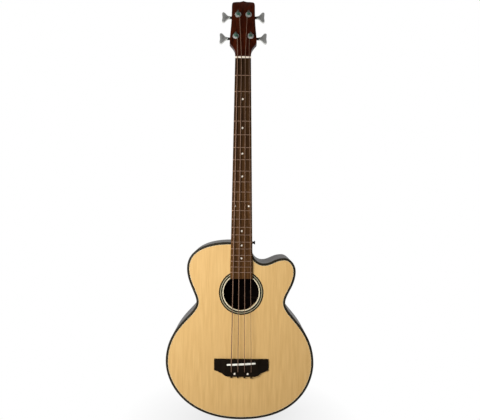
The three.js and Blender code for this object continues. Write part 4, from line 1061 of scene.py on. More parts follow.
@dataclass(frozen=True)
class Neck:
    """The neck's shaft with its heel and heel cap.

    The throat's sections are given by their place on the head, half width and squareness, and the
    bend's by its place on the neck, depth and squareness.
    """

    half_at_nut: float = 22.6
    half_at_joint: float = 30.5
    depth_at_nut: float = 15.0
    depth_at_heel: float = 17.5
    edge: float = 1.5
    throat: tuple = ((14.0, 23.1, 9.0), (10.0, 22.9, 5.0), (6.0, 22.7, 3.2), (2.5, 22.6, 2.4))
    throat_top: float = -2.1
    throat_depth: float = 15.4
    bend: tuple = (3.0, 15.05, 2.1)
    shaft_steps: int = 10
    heel_start: float = 445.0
    heel_depth: float = 92.0
    heel_lean: float = 0.3
    cap_length: float = 13.0
    cap_half: float = 13.0
    cap_thickness: float = 2.75
    cap_edge: tuple = ((0.5, 0.0), (0.12, 0.2), (0.0, 0.6))
    cap_steps: int = 24
    pull: float = 52.0
    rise: float = 46.0
    corner_power: float = 3.2
    section_steps: int = 32

    @property
    def joint(self) -> float:
        """Gives the place where the heel meets the body."""
        return -fret_distance(BODY_FRET)

    def half(self, y: float) -> float:
        """Gives the neck's half width at a place along it."""
        return self.half_at_nut + (self.half_at_joint - self.half_at_nut) * y / self.joint

    def section(
        self, y: float, half: float, depth: float, power: float = 2.0, taper: float = 0.0,
        top: float = 0.0,
    ) -> Ring:
        """Draws a cross section, flat in front and round behind.

        Args:
            y: The place along the neck.
            half: The half width.
            depth: How far the back reaches below zero.
            power: 2 is round; more is squarer.
            taper: How far the back narrows.
            top: The height of the flat front.

        Returns:
            The section's points.
        """
        ring = [Vector((half, y, top))]
        start = top - self.edge
        for t in shares(self.section_steps):
            angle = math.pi * t
            across = math.copysign(abs(math.cos(angle)) ** (2 / power), math.cos(angle))
            down = max(math.sin(angle), 0.0) ** (2 / power)
            x = half * across * (1 - taper * down)
            ring.append(Vector((x, y, start - (depth + start) * down)))
        return [*ring, Vector((-half, y, top))]

    def heel_ring(self, y: float, depth: float) -> Ring:
        """Gives one cross section of the heel.

        Args:
            y: The place along the neck.
            depth: The heel's depth there.

        Returns:
            The section's points.
        """
        share = (depth - self.depth_at_heel) / (self.heel_depth - self.depth_at_heel)
        half = self.half(y)
        taper = share * (1 - self.cap_half / half)
        return self.section(y, half, depth, 2 + share * (self.corner_power - 2), taper)

    def build(self) -> None:
        """Builds the shaft, the heel and its cap."""
        rings = []
        for y, half, power in self.throat:
            ring = self.section(y, half, self.throat_depth, power, top=self.throat_top)
            rings.append([HEAD @ p for p in ring])
        y, depth, power = self.bend
        rings.append(self.section(y, self.half_at_nut, depth, power))
        for t in shares(self.shaft_steps):
            y = -self.heel_start * t
            growth = (self.depth_at_heel - self.depth_at_nut) * t
            rings.append(self.section(y, self.half(y), self.depth_at_nut + growth))
        end = self.joint + self.cap_length
        curve = bezier((
            (-self.heel_start, self.depth_at_heel),
            (-self.heel_start - self.pull, self.depth_at_heel),
            (end, self.heel_depth - self.rise), (end - self.heel_lean, self.heel_depth),
        ), spacing=3.5)
        rings += [self.heel_ring(p.x, p.y) for p in curve[1:]]
        rings.append(self.heel_ring(self.joint, self.heel_depth))
        piece("neck_shaft", loft(rings), NECK_WOOD, replaces=["neck"])
        self.heel_cap()

    def heel_cap(self) -> None:
        """Builds the dark cap on the heel."""
        outline = []
        for t in shares(self.cap_steps):
            angle = math.pi * t
            reach = self.cap_length * max(math.sin(angle), 0.0) ** (2 / self.corner_power)
            outline.append(Vector((self.cap_half * math.cos(angle), self.joint + reach, 0)))
        top = -self.heel_depth - SEAM
        levels = [(d, top - self.cap_thickness + rise) for d, rise in self.cap_edge]
        skin = layered(outline, [*levels, (0, top)])
        piece("heel_end_cap", skin, CAP_WOOD, replaces=["heel_cap"])


@dataclass(frozen=True)
class Fretboard:
    """The board with its fret wires and position dots.

    A fret's ends are given by their share of its half length and of its height.
    """

    nut_width: float = 45.2
    end_width: float = 63.7
    length: float = 625.0
    soft: float = 0.5
    face_steps: int = 14
    frets: int = 21
    wire_width: float = 2.4
    wire_height: float = 1.1
    wire_seat: float = 0.15
    wire_foot: float = 0.2
    wire_short: float = 0.25
    wire_ends: tuple = ((0.96, 1.0), (0.985, 0.75), (1.0, 0.25))
    wire_steps: int = 6
    dot_radius: float = 2.7
    dot_profile: tuple = ((0.0, -0.6), (0.0, 0.0), (-0.3, 0.06))
    side_dot_radius: float = 1.0
    side_dot_depth: float = 0.5
    side_dot_spread: float = 5.0
    side_dot_drop: float = 0.3
    single_dots: tuple = (3, 5, 7, 9, 15, 17, 19)
    double_dots: tuple = (12,)
    double_at: float = 19.0

    def half(self, y: float) -> float:
        """Gives the board's half width at a place along it."""
        return (self.nut_width + (self.end_width - self.nut_width) * -y / self.length) / 2

    def section(self, y: float) -> Ring:
        """Draws the board's cross section with its crowned face.

        Args:
            y: The place along the board.

        Returns:
            The section's points.
        """
        half, soft = self.half(y), self.soft
        edge = BOARD_THICKNESS - arch_drop(half) - soft
        across = ((half - soft) * (2 * t - 1) for t in shares(self.face_steps))
        face = [Vector((x, y, BOARD_THICKNESS - arch_drop(x))) for x in across]
        left = [Vector((-half, y, z)) for z in (0, edge)]
        return [*left, *face, *(Vector((half, y, z)) for z in (edge, 0))]

    def build(self) -> None:
        """Builds the board, wires and dots."""
        ends = [self.section(y) for y in (0.0, -self.length / 2, -self.length)]
        piece("board", loft(ends), BOARD_WOOD, replaces=["fretboard"])
        for number in range(1, self.frets + 1):
            self.wire(number)
        for number in (*self.single_dots, *self.double_dots):
            self.dots(number)

    def wire(self, number: int) -> None:
        """Builds one fret wire, crowned across its width and eased at its ends.

        Args:
            number: The fret, counted from the nut.
        """
        y, wide, steps = -fret_distance(number), self.wire_width / 2, self.wire_steps
        half = self.half(y) - self.wire_short
        stations = [(-share, tall) for share, tall in reversed(self.wire_ends)]
        stations += [(k / steps, 1.0) for k in range(1 - steps, steps)]
        rings = []
        for share, tall in (*stations, *self.wire_ends):
            x = half * share
            base = BOARD_THICKNESS - arch_drop(x) - self.wire_seat
            ring = [Vector((x, y + side, base - self.wire_foot)) for side in (-wide, wide)]
            for t in shares(steps):
                angle = math.pi * t
                rise = (self.wire_height + self.wire_seat) * tall * math.sin(angle)
                ring.append(Vector((x, y + wide * math.cos(angle), base + rise)))
            rings.append(ring)
        piece(f"fret_wire_{number:02d}", loft(rings), NICKEL, smooth=50)

    def dots(self, number: int) -> None:
        """Builds the dots before one fret, on the board's face and on its bass edge.

        Args:
            number: The fret, counted from the nut.
        """
        y = -(fret_distance(number) + fret_distance(number - 1)) / 2
        double = number in self.double_dots
        disc = turned([(self.dot_radius + d, z) for d, z in self.dot_profile])
        ends = (-self.side_dot_depth, SEAM)
        side_disc = turned([(self.side_dot_radius, z) for z in ends], count=20)
        sides = (-1, 1) if double else (0,)
        for side, ending in zip(sides, ("_bass", "_treble")):
            x = side * self.double_at
            place = Matrix.Translation((x, y, BOARD_THICKNESS - arch_drop(x)))
            lean = Matrix.Rotation(math.asin(x / ARCH_RADIUS), 4, "Y")
            piece(f"face_dot_{number:02d}" + ending * double, disc.placed(place @ lean), PEARL)
        for side, ending in zip(sides, ("_lower", "_upper")):
            along = y + side * self.side_dot_spread
            level = BOARD_THICKNESS / 2 - self.side_dot_drop
            place = Matrix.Translation((-self.half(along), along, level)) @ turn(-90, "Y")
            piece(f"side_dot_{number:02d}" + ending * double, side_disc.placed(place), PEARL)


@dataclass(frozen=True)
class Nut:
    """The nut under the strings, sloped down towards the head.

    Its slope is given by pairs of distance from the board and fall.
    """

    half: float = 22.6
    height: float = 10.0
    foot: float = 0.03
    corner: float = 0.4
    steps: int = 24
    slot_room: float = 0.06
    slot_over: float = 1.0
    slot_steps: int = 10
    slope: tuple = (
        (0.0, 0.3), (0.25, 0.05), (0.7, 0.0), (2.9, 0.0), (3.6, 0.35), (4.8, 1.5), (6.0, 2.9),
    )

    def section(self, y: float, drop: float) -> Ring:
        """Draws the nut's outline across the neck.

        Args:
            y: The distance from the board.
            drop: How far the crown has fallen there.

        Returns:
            The section's points.
        """
        ring = [Vector((side * self.half, y, self.foot)) for side in (-1, 1)]
        for t in shares(self.steps):
            x = self.half * (1 - 2 * t)
            corner = self.corner if t in (0, 1) else 0.0
            ring.append(Vector((x, y, self.height - arch_drop(x) - drop - corner)))
        return ring

    def slot(self, string: "BassString") -> Skin:
        """Draws the room that one string takes out of the nut.

        Args:
            string: The string.

        Returns:
            The room.
        """
        rings = []
        for y in (-self.slot_over, NUT_THICKNESS + self.slot_over):
            centre = string.nut_point(y)
            radius = string.gauge / 2 + self.slot_room
            top = self.height + 2 * self.slot_over
            ring = []
            for t in shares(self.slot_steps):
                angle = math.pi * (1 + t)
                x, z = radius * math.cos(angle), radius * math.sin(angle)
                ring.append(centre + Vector((x, 0, z)))
            rings.append([*ring, *(Vector((centre.x + s * radius, y, top)) for s in (1, -1))])
        return loft(rings)

    def build(self) -> None:
        """Builds the nut with a slot for each string."""
        blank = bare("string_nut", loft([self.section(y, drop) for y, drop in self.slope]))
        nut = carved(blank, *(self.slot(string) for string in STRINGS))
        finished(nut, BONE, replaces=["nut"], smooth=30)


# ---- the bridge ----


@dataclass(frozen=True)
class Bridge:
    """The bridge with its slanted saddle and two bolt caps.

    A cap's profile is given by pairs of share of its radius and height, and the saddle's crest by
    pairs of inset and fall.
    """

    half_length: float = 77.2
    steps: int = 120
    front: float = -854.0
    wing_back: float = -886.2
    belly_back: float = -901.8
    belly_half: float = 36.0
    belly_shoulder: float = 46.0
    scoop_half: float = 61.0
    shoulder_drop: float = 3.6
    height: float = 9.5
    wing_height: float = 4.2
    wing_start: float = 47.0
    scoop_end: float = 58.0
    soft: float = 0.9
    end_soft: float = 0.72
    cap_radius: float = 2.9
    cap_spread: float = 37.0
    cap_at: float = -893.4
    cap_profile: tuple = ((1.0, -2.0), (1.0, 0.0), (0.9, 0.22), (0.5, 0.38), (4 / 29, 0.42))
    saddle_length: float = 81.8
    saddle_width: float = 4.8
    saddle_foot: float = 4.5
    saddle_slant: float = 3.2
    saddle_at: float = -865.9
    saddle_steps: int = 16
    saddle_end_steps: int = 12
    saddle_crest: tuple = ((0, 1.0), (0.25, 0.4), (0.7, 0.1), (1.2, 0))
    string_height: float = 13.0
    bore_clearance: float = 0.35
    bore_reach: float = 30.0
    string_mouth: float = -888.0
    ball_clearance: float = 0.4

    def back_edge(self) -> Callable[[float], float]:
        """Works out the bridge's rear edge.

        Returns:
            The edge's place as a function of x.
        """
        curve = bezier((
            (self.belly_half, self.belly_back), (self.belly_shoulder, self.belly_back),
            (self.scoop_half, self.wing_back - self.shoulder_drop),
            (self.half_length, self.wing_back),
        ), spacing=1.0)

        def edge(x: float) -> float:
            """Reads the rear edge.

            Args:
                x: The place across the bridge.

            Returns:
                The edge's place along the strings.
            """
            x = abs(x)
            if x <= self.belly_half:
                return self.belly_back
            for p, q in zip(curve, curve[1:]):
                if p.x <= x <= q.x + LEAST_STEP:
                    return p.y + (q.y - p.y) * (x - p.x) / max(q.x - p.x, LEAST_STEP)
            return self.wing_back

        return edge

    def face(self, x: float) -> float:
        """Gives the height of the bridge's upper face, which falls to the thin wings."""
        share = clamped((abs(x) - self.wing_start) / (self.scoop_end - self.wing_start))
        return self.wing_height + (self.height - self.wing_height) * (1 - share) ** 2

    def section(self, x: float, back: float, front: float, top: float) -> Ring:
        """Draws one cross section of the bridge with its upper edges rounded.

        Args:
            x: The place across the bridge.
            back: The rear edge.
            front: The front edge.
            top: The height of the upper face.

        Returns:
            The section's points.
        """
        soft, part = self.soft, ROUND * self.soft
        edge = ((0.0, top), (0.0, soft), (part, part), (soft, 0.0))
        pairs = [(back + d, top - drop) for d, drop in edge]
        pairs += [(front - d, top - drop) for d, drop in reversed(edge)]
        return [Vector((x, y, z)) for y, z in pairs]

    def bore(self, string: "BassString") -> Skin:
        """Draws the hole that a string runs through.

        Args:
            string: The string.

        Returns:
            The hole.
        """
        tail = string.tail(self)
        slope = math.atan2(tail.rear.z - tail.end.z, tail.rear.y - tail.end.y)
        place = Matrix.Translation((tail.rear + tail.end) / 2) @ Matrix.Rotation(slope, 4, "X")
        radius, reach = string.gauge / 2 + self.bore_clearance, self.bore_reach
        bore = turned([(radius, -reach), (radius, reach)], count=20)
        return bore.placed(place @ turn(-90, "X"))

    def build(self) -> None:
        """Builds the bridge, the saddle and the caps."""
        edge, half = self.back_edge(), self.half_length
        near = half - self.soft
        inner = [half * (2 * i / self.steps - 1) for i in range(1, self.steps)]
        rings = []
        for x in (-half, -near, *inner, near, half):
            drop = self.end_soft if abs(x) == half else 0.0
            rings.append(self.section(x, edge(x) + drop, self.front - drop, self.face(x) - drop))
        block = bare("bridge_block", loft(rings).placed(Matrix.Translation((BRIDGE_OFFSET, 0, 0))))
        carved(block, *(self.bore(string) for string in STRINGS))
        finished(block, BRIDGE_WOOD, replaces=["bridge"])
        self.saddle()
        cap = turned([(share * self.cap_radius, z) for share, z in self.cap_profile])
        for name, side in (("bass", -0.5), ("treble", 0.5)):
            place = (BRIDGE_OFFSET + self.cap_spread * side, self.cap_at, self.height)
            skin = cap.placed(Matrix.Translation(place))
            piece(f"pearl_cap_{name}", skin, PEARL, replaces=[f"bridge_cap_{name}"])

    def saddle(self) -> None:
        """Builds the bone saddle, rounded along its crest."""
        half = (self.saddle_length - self.saddle_width) / 2
        radius = self.saddle_width / 2
        turns = [math.pi * (t - 0.5) for t in shares(self.saddle_end_steps)]
        right = [Vector((half + radius * math.cos(t), radius * math.sin(t), 0)) for t in turns]
        left = [Vector((-p.x, -p.y, 0)) for p in right]
        ring = []
        for arc, other in ((right, left), (left, right)):
            ring += arc + [arc[-1].lerp(other[0], t) for t in shares(self.saddle_steps)[1:-1]]

        def crest(fall: float) -> Callable[[Vector], float]:
            """Gives the crest's height, lowered by a distance."""
            return lambda p: self.string_height - SEAM - arch_drop(p.x) - fall

        levels = [(0, self.saddle_foot), *((d, crest(fall)) for d, fall in self.saddle_crest)]
        place = Matrix.Translation((BRIDGE_OFFSET, self.saddle_at, 0))
        skin = layered(ring, levels).placed(place @ turn(self.saddle_slant, "Z"))
        piece("bone_saddle", skin, SADDLE_BONE, replaces=["saddle"], smooth=45)


# ---- strings and tuners ----


@dataclass(frozen=True)
class StringTail:
    """Where a string leaves the saddle and where its ball sits."""

    rear: Vector
    end: Vector


@dataclass(frozen=True)
class BassString:
    """One string from its ball to its post."""

    number: int
    gauge: float
    turns: int
    core_share: float = 0.75
    action_at_nut: float = 1.7
    ball_radius: float = 2.9
    ball_length: float = 4.5
    ball_hollow: float = 0.45
    ball_waist: float = 0.82
    ball_edge: tuple = (0.4, 0.5)
    silk_reach: float = 13.0
    silk_thickness: float = 0.04
    post_room: float = 0.3
    first_turn: float = 1.0
    turn_gap: float = 0.7
    turn_steps: int = 40
    steps_short: int = 5
    tuck: float = 0.4
    tuck_rise: float = 0.3
    tuck_ease: float = 1.02
    tuck_steps: int = 8
    slot_room: float = 0.1
    lead_steps: int = 6
    kink: float = 1.6

    @property
    def name(self) -> str:
        """Gives the string's note."""
        return STRING_NAMES[self.number]

    @property
    def core(self) -> float:
        """Gives the thickness of the silk-covered core that goes round the post."""
        return self.gauge * self.core_share

    @property
    def silk_radius(self) -> float:
        """Gives the outer radius of the silk."""
        return self.core / 2 + self.silk_thickness

    def tail(self, bridge: Bridge) -> StringTail:
        """Works out the string's run behind the saddle.

        Args:
            bridge: The bridge.

        Returns:
            The run's two ends.
        """
        x = string_x(self.number, SPREAD_AT_SADDLE)
        y = bridge.saddle_at + x * math.tan(math.radians(bridge.saddle_slant))
        y -= bridge.saddle_width / 2
        z = bridge.string_height - arch_drop(x) + self.gauge / 2
        slope = (z - bridge.height + self.gauge / 2) / (y - bridge.string_mouth)
        end_y = bridge.belly_back - bridge.ball_clearance - self.ball_radius
        x += BRIDGE_OFFSET
        return StringTail(Vector((x, y, z)), Vector((x, end_y, z + (end_y - y) * slope)))

    def nut_point(self, y: float) -> Vector:
        """Gives the string's centre over the nut."""
        x = string_x(self.number, SPREAD_AT_NUT) + SHIFT_AT_NUT
        return Vector((x, y, BOARD_THICKNESS + self.action_at_nut - arch_drop(x) + self.gauge / 2))

    def turn_radius(self, tuner: "Tuner") -> float:
        """Gives the radius of the string's turns on its post."""
        return tuner.post_radius + self.post_room + self.core / 2

    def head_run(self, tuner: "Tuner") -> tuple[Vector, Vector, float]:
        """Works out the run from the nut to the post.

        Args:
            tuner: The string's tuner.

        Returns:
            The start and the touching point in the head's frame, and the run's heading.
        """
        place = tuner.place()
        start = HEAD.inverted() @ self.nut_point(NUT_THICKNESS)
        radius = self.turn_radius(tuner)
        level = tuner.nut_top + self.core / 2 + self.first_turn
        far = math.hypot(place.x - start.x, place.y - start.y)
        heading = math.atan2(place.y - start.y, place.x - start.x)
        heading += string_side(self.number) * math.asin(radius / far)
        run = math.sqrt(far**2 - radius**2)
        x, y = start.x + math.cos(heading) * run, start.y + math.sin(heading) * run
        return start, Vector((x, y, level)), heading

    def build(self, tuner: "Tuner", bridge: Bridge) -> None:
        """Builds the wire, its ball, its silk and its turns on the post.

        Args:
            tuner: The string's tuner.
            bridge: The bridge.
        """
        tail = self.tail(bridge)
        start, touch, heading = self.head_run(tuner)
        silk_start = touch - (touch - start).normalized() * self.silk_reach
        over_nut = [self.nut_point(0.0), self.nut_point(NUT_THICKNESS)]
        path = rounded([tail.end, tail.rear, *over_nut, HEAD @ silk_start], self.kink)
        wire = tube(path, self.gauge / 2)
        piece(f"wire_{self.name}", wire, BRONZE, replaces=[f"string_{self.name}"])
        lead = [HEAD @ silk_start.lerp(touch, t) for t in shares(self.lead_steps)]
        piece(f"silk_lead_{self.name}", tube(lead, self.silk_radius), SILK)
        place = Matrix.Translation(tail.end) @ turn(90, "Y")
        piece(f"ball_{self.name}", self.ball().placed(place), BRASS)
        self.wind(tuner, heading, touch)

    def ball(self) -> Skin:
        """Draws the waisted ball with its hole.

        Returns:
            The ball.
        """
        out, half = self.ball_radius, self.ball_length / 2
        across, along = self.ball_edge
        rim = [(out * self.ball_hollow, half), (out - across, half), (out, half - along)]
        low = [(r, -z) for r, z in rim]
        profile = [*low, (out * self.ball_waist, 0.0), *reversed(rim)]
        return turned(profile, count=32, closed=True)

    def wind(self, tuner: "Tuner", heading: float, touch: Vector) -> None:
        """Builds the turns on the post, the last one tucked into the post's slot.

        Args:
            tuner: The string's tuner.
            heading: The heading of the string's run to the post.
            touch: Where the string touches the post, in the head's frame.
        """
        spin = -string_side(self.number)
        radius = self.turn_radius(tuner)
        contact = heading - spin * math.pi / 2
        rise = (self.core + self.turn_gap) / self.turn_steps
        points = []
        for i in range(self.turns * self.turn_steps - self.steps_short + 1):
            angle = contact + spin * 2 * math.pi * i / self.turn_steps
            points.append(polar(radius, angle, touch.z + rise * i))
        inward = -math.copysign(1.0, math.cos(contact))
        slot = tuner.post_top - tuner.slot_depth + self.core / 2 + self.slot_room
        high = max(points[-1].z + self.tuck_rise, slot)
        corner = Vector((-inward * radius * self.tuck_ease, 0, high))
        end = Vector((inward * tuner.post_radius * self.tuck, 0, high))
        points += quarter(points[-1], corner, end, self.tuck_steps)[1:]
        skin = tube([p + tuner.place() for p in points], self.silk_radius).placed(HEAD)
        piece(
            f"silk_turns_{self.name}", skin, SILK, body=Body.POST.of(self.name),
            replaces=[f"string_winding_{self.name}"],
        )


@dataclass(frozen=True)
class Tuner:
    """One tuner: housing, key with its worm, post with its wheel, washer and nut.

    A tooth's corners are given by pairs of share of the pitch and height over the pitch circle,
    and the key's curves by shares of its length and half width. The edges of key and washer have
    pairs of inset and share of the half or whole thickness, those of housing and boss pairs of
    inset and distance from the end, and nose and screw pairs of radius and height.
    """

    number: int
    lower_row: bool
    rows: tuple = ((21.4, 69.7), (15.6, 143.1))
    post_radius: float = 3.2
    post_top: float = 15.0
    slot_width: float = 2.8
    slot_depth: float = 5.0
    slot_over: float = 5.0
    crown: float = 0.8
    post_room: float = 0.35
    washer_radius: float = 9.25
    washer: float = 1.3
    washer_seat: float = 0.02
    washer_edge: tuple = ((0.0, 0.5), (0.25, 0.85), (0.8, 1.0))
    nut_top: float = 2.6
    nut_across: float = 12.0
    nut_ease: float = 0.35
    nut_edge: float = 0.5
    nut_bevel: float = 1.06
    nut_side_steps: int = 8
    module: float = 0.7
    teeth: int = 14
    tooth: tuple = ((-0.23, -0.85), (-0.09, 0.5), (0.09, 0.5), (0.23, -0.85))
    worm_radius: float = 2.9
    worm_turns: int = 3
    worm_rows: int = 14
    worm_columns: int = 28
    thread_top: float = 0.6
    thread_depth: float = 1.35
    thread_flank: tuple = (0.13, 0.32)
    wheel_width: float = 4.0
    wheel_level: float = -22.0
    head_back: float = -15.5
    depth: float = 13.5
    wall: float = 2.0
    floor: float = 1.6
    wheel_room: float = 1.6
    worm_room: float = 1.4
    plan_gap: float = 0.3
    plan_steps: int = 8
    housing_edge: tuple = ((1.6, 0.0), (0.5, 0.4), (0.0, 1.5))
    boss_radius: float = 4.4
    boss_start: float = 0.5
    boss_length: float = 9.5
    boss_edge: tuple = ((0.0, 1.6), (0.4, 1.2), (0.9, 0.0))
    bore_reach: tuple = (-1.0, 8.0)
    shaft_radius: float = 2.1
    shaft_room: float = 0.3
    shaft_end_radius: float = 1.5
    shaft_reach: float = 1.3
    ferrule_radius: float = 3.9
    ferrule_length: float = 3.4
    ferrule_round: float = 0.7
    nose: tuple = ((3.3, 1.2), (1.0, 3.2))
    collar_shares: tuple = (0.8, 0.94, 0.96)
    collar_round: float = 0.5
    collar_step: float = 0.6
    reach: float = 48.4
    key_length: float = 22.8
    key_half: float = 17.8
    key_thickness: float = 6.0
    stem_half: float = 4.4
    key_curves: tuple = (
        (0.38, 0.2), (0.52, 0.99), (0.8, 1),
        (0.93, 1), (1, 0.88), (1, 0.74),
        (1, 0.48), (0.95, 0.22), (0.95, 0),
    )
    key_spacing: float = 1.2
    key_edge: tuple = ((1.5, 1.0), (0.7, 0.93), (0.2, 0.7), (0.0, 0.4))
    screw_profile: tuple = ((2.9, 0.4), (2.9, -0.3), (2.3, -0.9), (1.0, -1.2))
    cross_turns: tuple = (20.0, 110.0)
    cross_half: tuple = (1.7, 0.35)
    cross_depth: tuple = (-2.0, -0.5)

    @property
    def name(self) -> str:
        """Gives the note of the tuner's string."""
        return STRING_NAMES[self.number]

    @property
    def pitch_radius(self) -> float:
        """Gives the radius of the wheel's pitch circle."""
        return self.module * self.teeth / 2

    @property
    def offset(self) -> float:
        """Gives the distance between the axes of the worm and the wheel."""
        return self.pitch_radius + self.worm_radius

    def place(self) -> Vector:
        """Gives the post's place on the head's face."""
        half, along = self.rows[0 if self.lower_row else 1]
        return Vector((string_side(self.number) * half, along, 0))

    def seat(self) -> Matrix:
        """Gives the tuner's own frame."""
        return HEAD @ Matrix.Translation(self.place())

    def axle(self) -> Matrix:
        """Gives the place of the worm's axis in the tuner's frame."""
        return Matrix.Translation((0, self.offset, self.wheel_level))

    def build(self) -> None:
        """Builds the tuner."""
        self.build_post()
        self.build_washer()
        self.build_housing()
        self.build_key()

    def build_post(self) -> None:
        """Builds the slotted post with its worm wheel."""
        low = self.head_back - self.depth + self.floor
        radius, top, crown = self.post_radius, self.post_top, self.crown
        stem = turned([
            (radius - crown, low), (radius, low + crown), (radius, top - crown),
            (radius - ROUND * crown, top - ROUND * crown), (radius - crown, top),
        ], count=36)
        slot = box(-radius * 2, radius * 2, -self.slot_width / 2, self.slot_width / 2)
        room = layered(slot, [(0, top - self.slot_depth), (0, top + self.slot_over)])
        place = self.seat()
        post = carved(bare(f"post_{self.name}", stem.placed(place)), room.placed(place))
        wheel = bare("wheel", self.wheel().placed(place))
        joined = bmesh.new()
        joined.from_mesh(post.data)
        joined.from_mesh(wheel.data)
        joined.to_mesh(post.data)
        joined.free()
        bpy.data.objects.remove(wheel)
        finished(post, POST_STEEL, Body.POST.of(self.name), [f"tuner_post_{self.name}"])

    def wheel(self) -> Skin:
        """Draws the worm wheel with its slanted teeth.

        Returns:
            The wheel.
        """
        pitch = 2 * math.pi / self.teeth
        slant = math.tan(math.asin(self.module / (2 * self.worm_radius))) / self.pitch_radius
        rings = []
        for z in (-self.wheel_width / 2, 0.0, self.wheel_width / 2):
            ring = []
            for tooth in range(self.teeth):
                middle = math.pi / 2 + pitch * (tooth + 0.5) + slant * z
                for share, grow in self.tooth:
                    angle, radius = middle + share * pitch, self.pitch_radius + grow
                    ring.append(polar(radius, angle, self.wheel_level + z))
            rings.append(ring)
        return loft(rings)

    def build_washer(self) -> None:
        """Builds the washer and the hexagonal nut round the post."""
        bore, wide = self.post_radius + self.post_room, self.washer_radius
        low, thick = self.washer_seat, self.washer
        edge = [(wide - d, thick * share) for d, share in self.washer_edge]
        profile = [(bore, low), (wide, low), *edge, (bore, thick)]
        washer = turned(profile, count=56, closed=True)
        place = self.seat()
        piece(f"washer_{self.name}", washer.placed(place), CHROME)
        half, top = self.nut_across / 2, self.nut_top
        outer = circle(half / math.cos(math.pi / 6), count=6)
        sides = zip(outer, [*outer[1:], outer[0]])
        dense = [p.lerp(q, t) for p, q in sides for t in shares(self.nut_side_steps)[:-1]]
        inner = circle(bore, count=len(dense))
        eased = [p * min(1.0, (half + self.nut_ease) / p.length) for p in dense]
        bevelled = [p * self.nut_bevel for p in inner]
        rings = (
            (inner, thick), (dense, thick), (dense, top - self.nut_edge), (eased, top),
            (bevelled, top),
        )
        nut = loft([[raised(p, z) for p in ring] for ring, z in rings], closed=True)
        piece(
            f"hex_nut_{self.name}", nut.placed(place), CHROME,
            replaces=[f"tuner_bushing_{self.name}"], smooth=25,
        )

    def plan(self, grow: float, z: float) -> Ring:
        """Draws the housing's rounded plan.

        Args:
            grow: How far the plan reaches outside the room for the gears.
            z: The level.

        Returns:
            The plan's points.
        """
        half = self.pitch_radius + self.wheel_room
        below, above = half - self.plan_gap, self.offset + self.worm_radius + self.worm_room
        corner = half / 2
        shift = grow - corner
        corners = (
            (half + shift, above + shift), (-half - shift, above + shift),
            (-half - shift, -below - shift), (half + shift, -below - shift),
        )
        points = []
        for i, (x, y) in enumerate(corners):
            for t in shares(self.plan_steps):
                angle = math.pi / 2 * (i + t)
                points.append(polar(corner, angle, z) + Vector((x, y, 0)))
        return points

    def build_housing(self) -> None:
        """Builds the gear housing with its boss and the screw on its back."""
        wall, radius = self.wall, self.boss_radius
        top, bottom = self.head_back - SEAM, self.head_back - self.plan_gap - self.depth
        levels = [(wall - d, bottom + rise) for d, rise in self.housing_edge]
        levels += [(wall, top), (0, top), (0, bottom + self.floor)]
        shell = loft([self.plan(*level) for level in levels])
        half = self.pitch_radius + self.wheel_room
        start, end = half + self.boss_start, half + self.boss_length
        hole = self.shaft_radius + self.shaft_room
        out = self.axle() @ turn(90, "Y")
        edge = [(radius - d, end - back) for d, back in self.boss_edge]
        profile = [(hole, start), (radius, start), *edge, (hole, end)]
        boss = turned(profile, count=36, closed=True).placed(out)
        bore = turned([(hole, half + reach) for reach in self.bore_reach], count=24).placed(out)
        place = self.seat() @ Matrix.Diagonal((string_side(self.number), 1, 1, 1))
        housing = carved(bare(f"gear_housing_{self.name}", shell.placed(place)), bore.placed(place))
        finished(housing, CHROME, replaces=[f"tuner_housing_{self.name}"], smooth=28)
        piece(f"housing_boss_{self.name}", boss.placed(place), POST_STEEL)
        spot = place @ Matrix.Translation((0, 0, bottom))
        long, thin = self.cross_half
        bar = layered(box(-long, long, -thin, thin), [(0, z) for z in self.cross_depth])
        cross = [bar.placed(spot @ turn(degrees, "Z")) for degrees in self.cross_turns]
        screw = turned(self.screw_profile, count=32).placed(spot)
        finished(carved(bare(f"cover_screw_{self.name}", screw), *cross), CHROME)

    def worm(self) -> Skin:
        """Draws the worm along x with one thread.

        Returns:
            The worm.
        """
        pitch = math.pi * self.module
        length = self.worm_turns * pitch
        crest, root = self.thread_flank
        rings = []
        for t in shares(self.worm_turns * self.worm_rows):
            x = length * (t - 0.5)
            ring = []
            for share in shares(self.worm_columns)[:-1]:
                phase = x / pitch - share + 0.5
                fall = clamped((abs(phase - round(phase)) - crest) / (root - crest))
                radius = self.worm_radius + self.thread_top - fall * self.thread_depth
                angle = 2 * math.pi * share
                ring.append(Vector((x, radius * math.cos(angle), radius * math.sin(angle))))
            rings.append(ring)
        return loft(rings)

    def grip(self) -> Skin:
        """Draws the two-lobed plate that the fingers turn.

        Returns:
            The plate, from its stem outwards along x.
        """
        long, tall, half = self.key_length, self.key_half, self.key_thickness / 2
        controls = [(x * long, -y * tall) for x, y in self.key_curves]
        lower = spline([(0.0, -self.stem_half), *controls], self.key_spacing)
        outline = [*lower, *(Vector((p.x, -p.y, 0)) for p in reversed(lower[:-1]))]
        levels = [(d, -half * h) for d, h in self.key_edge]
        return layered(outline, levels + [(d, half * h) for d, h in reversed(self.key_edge)])

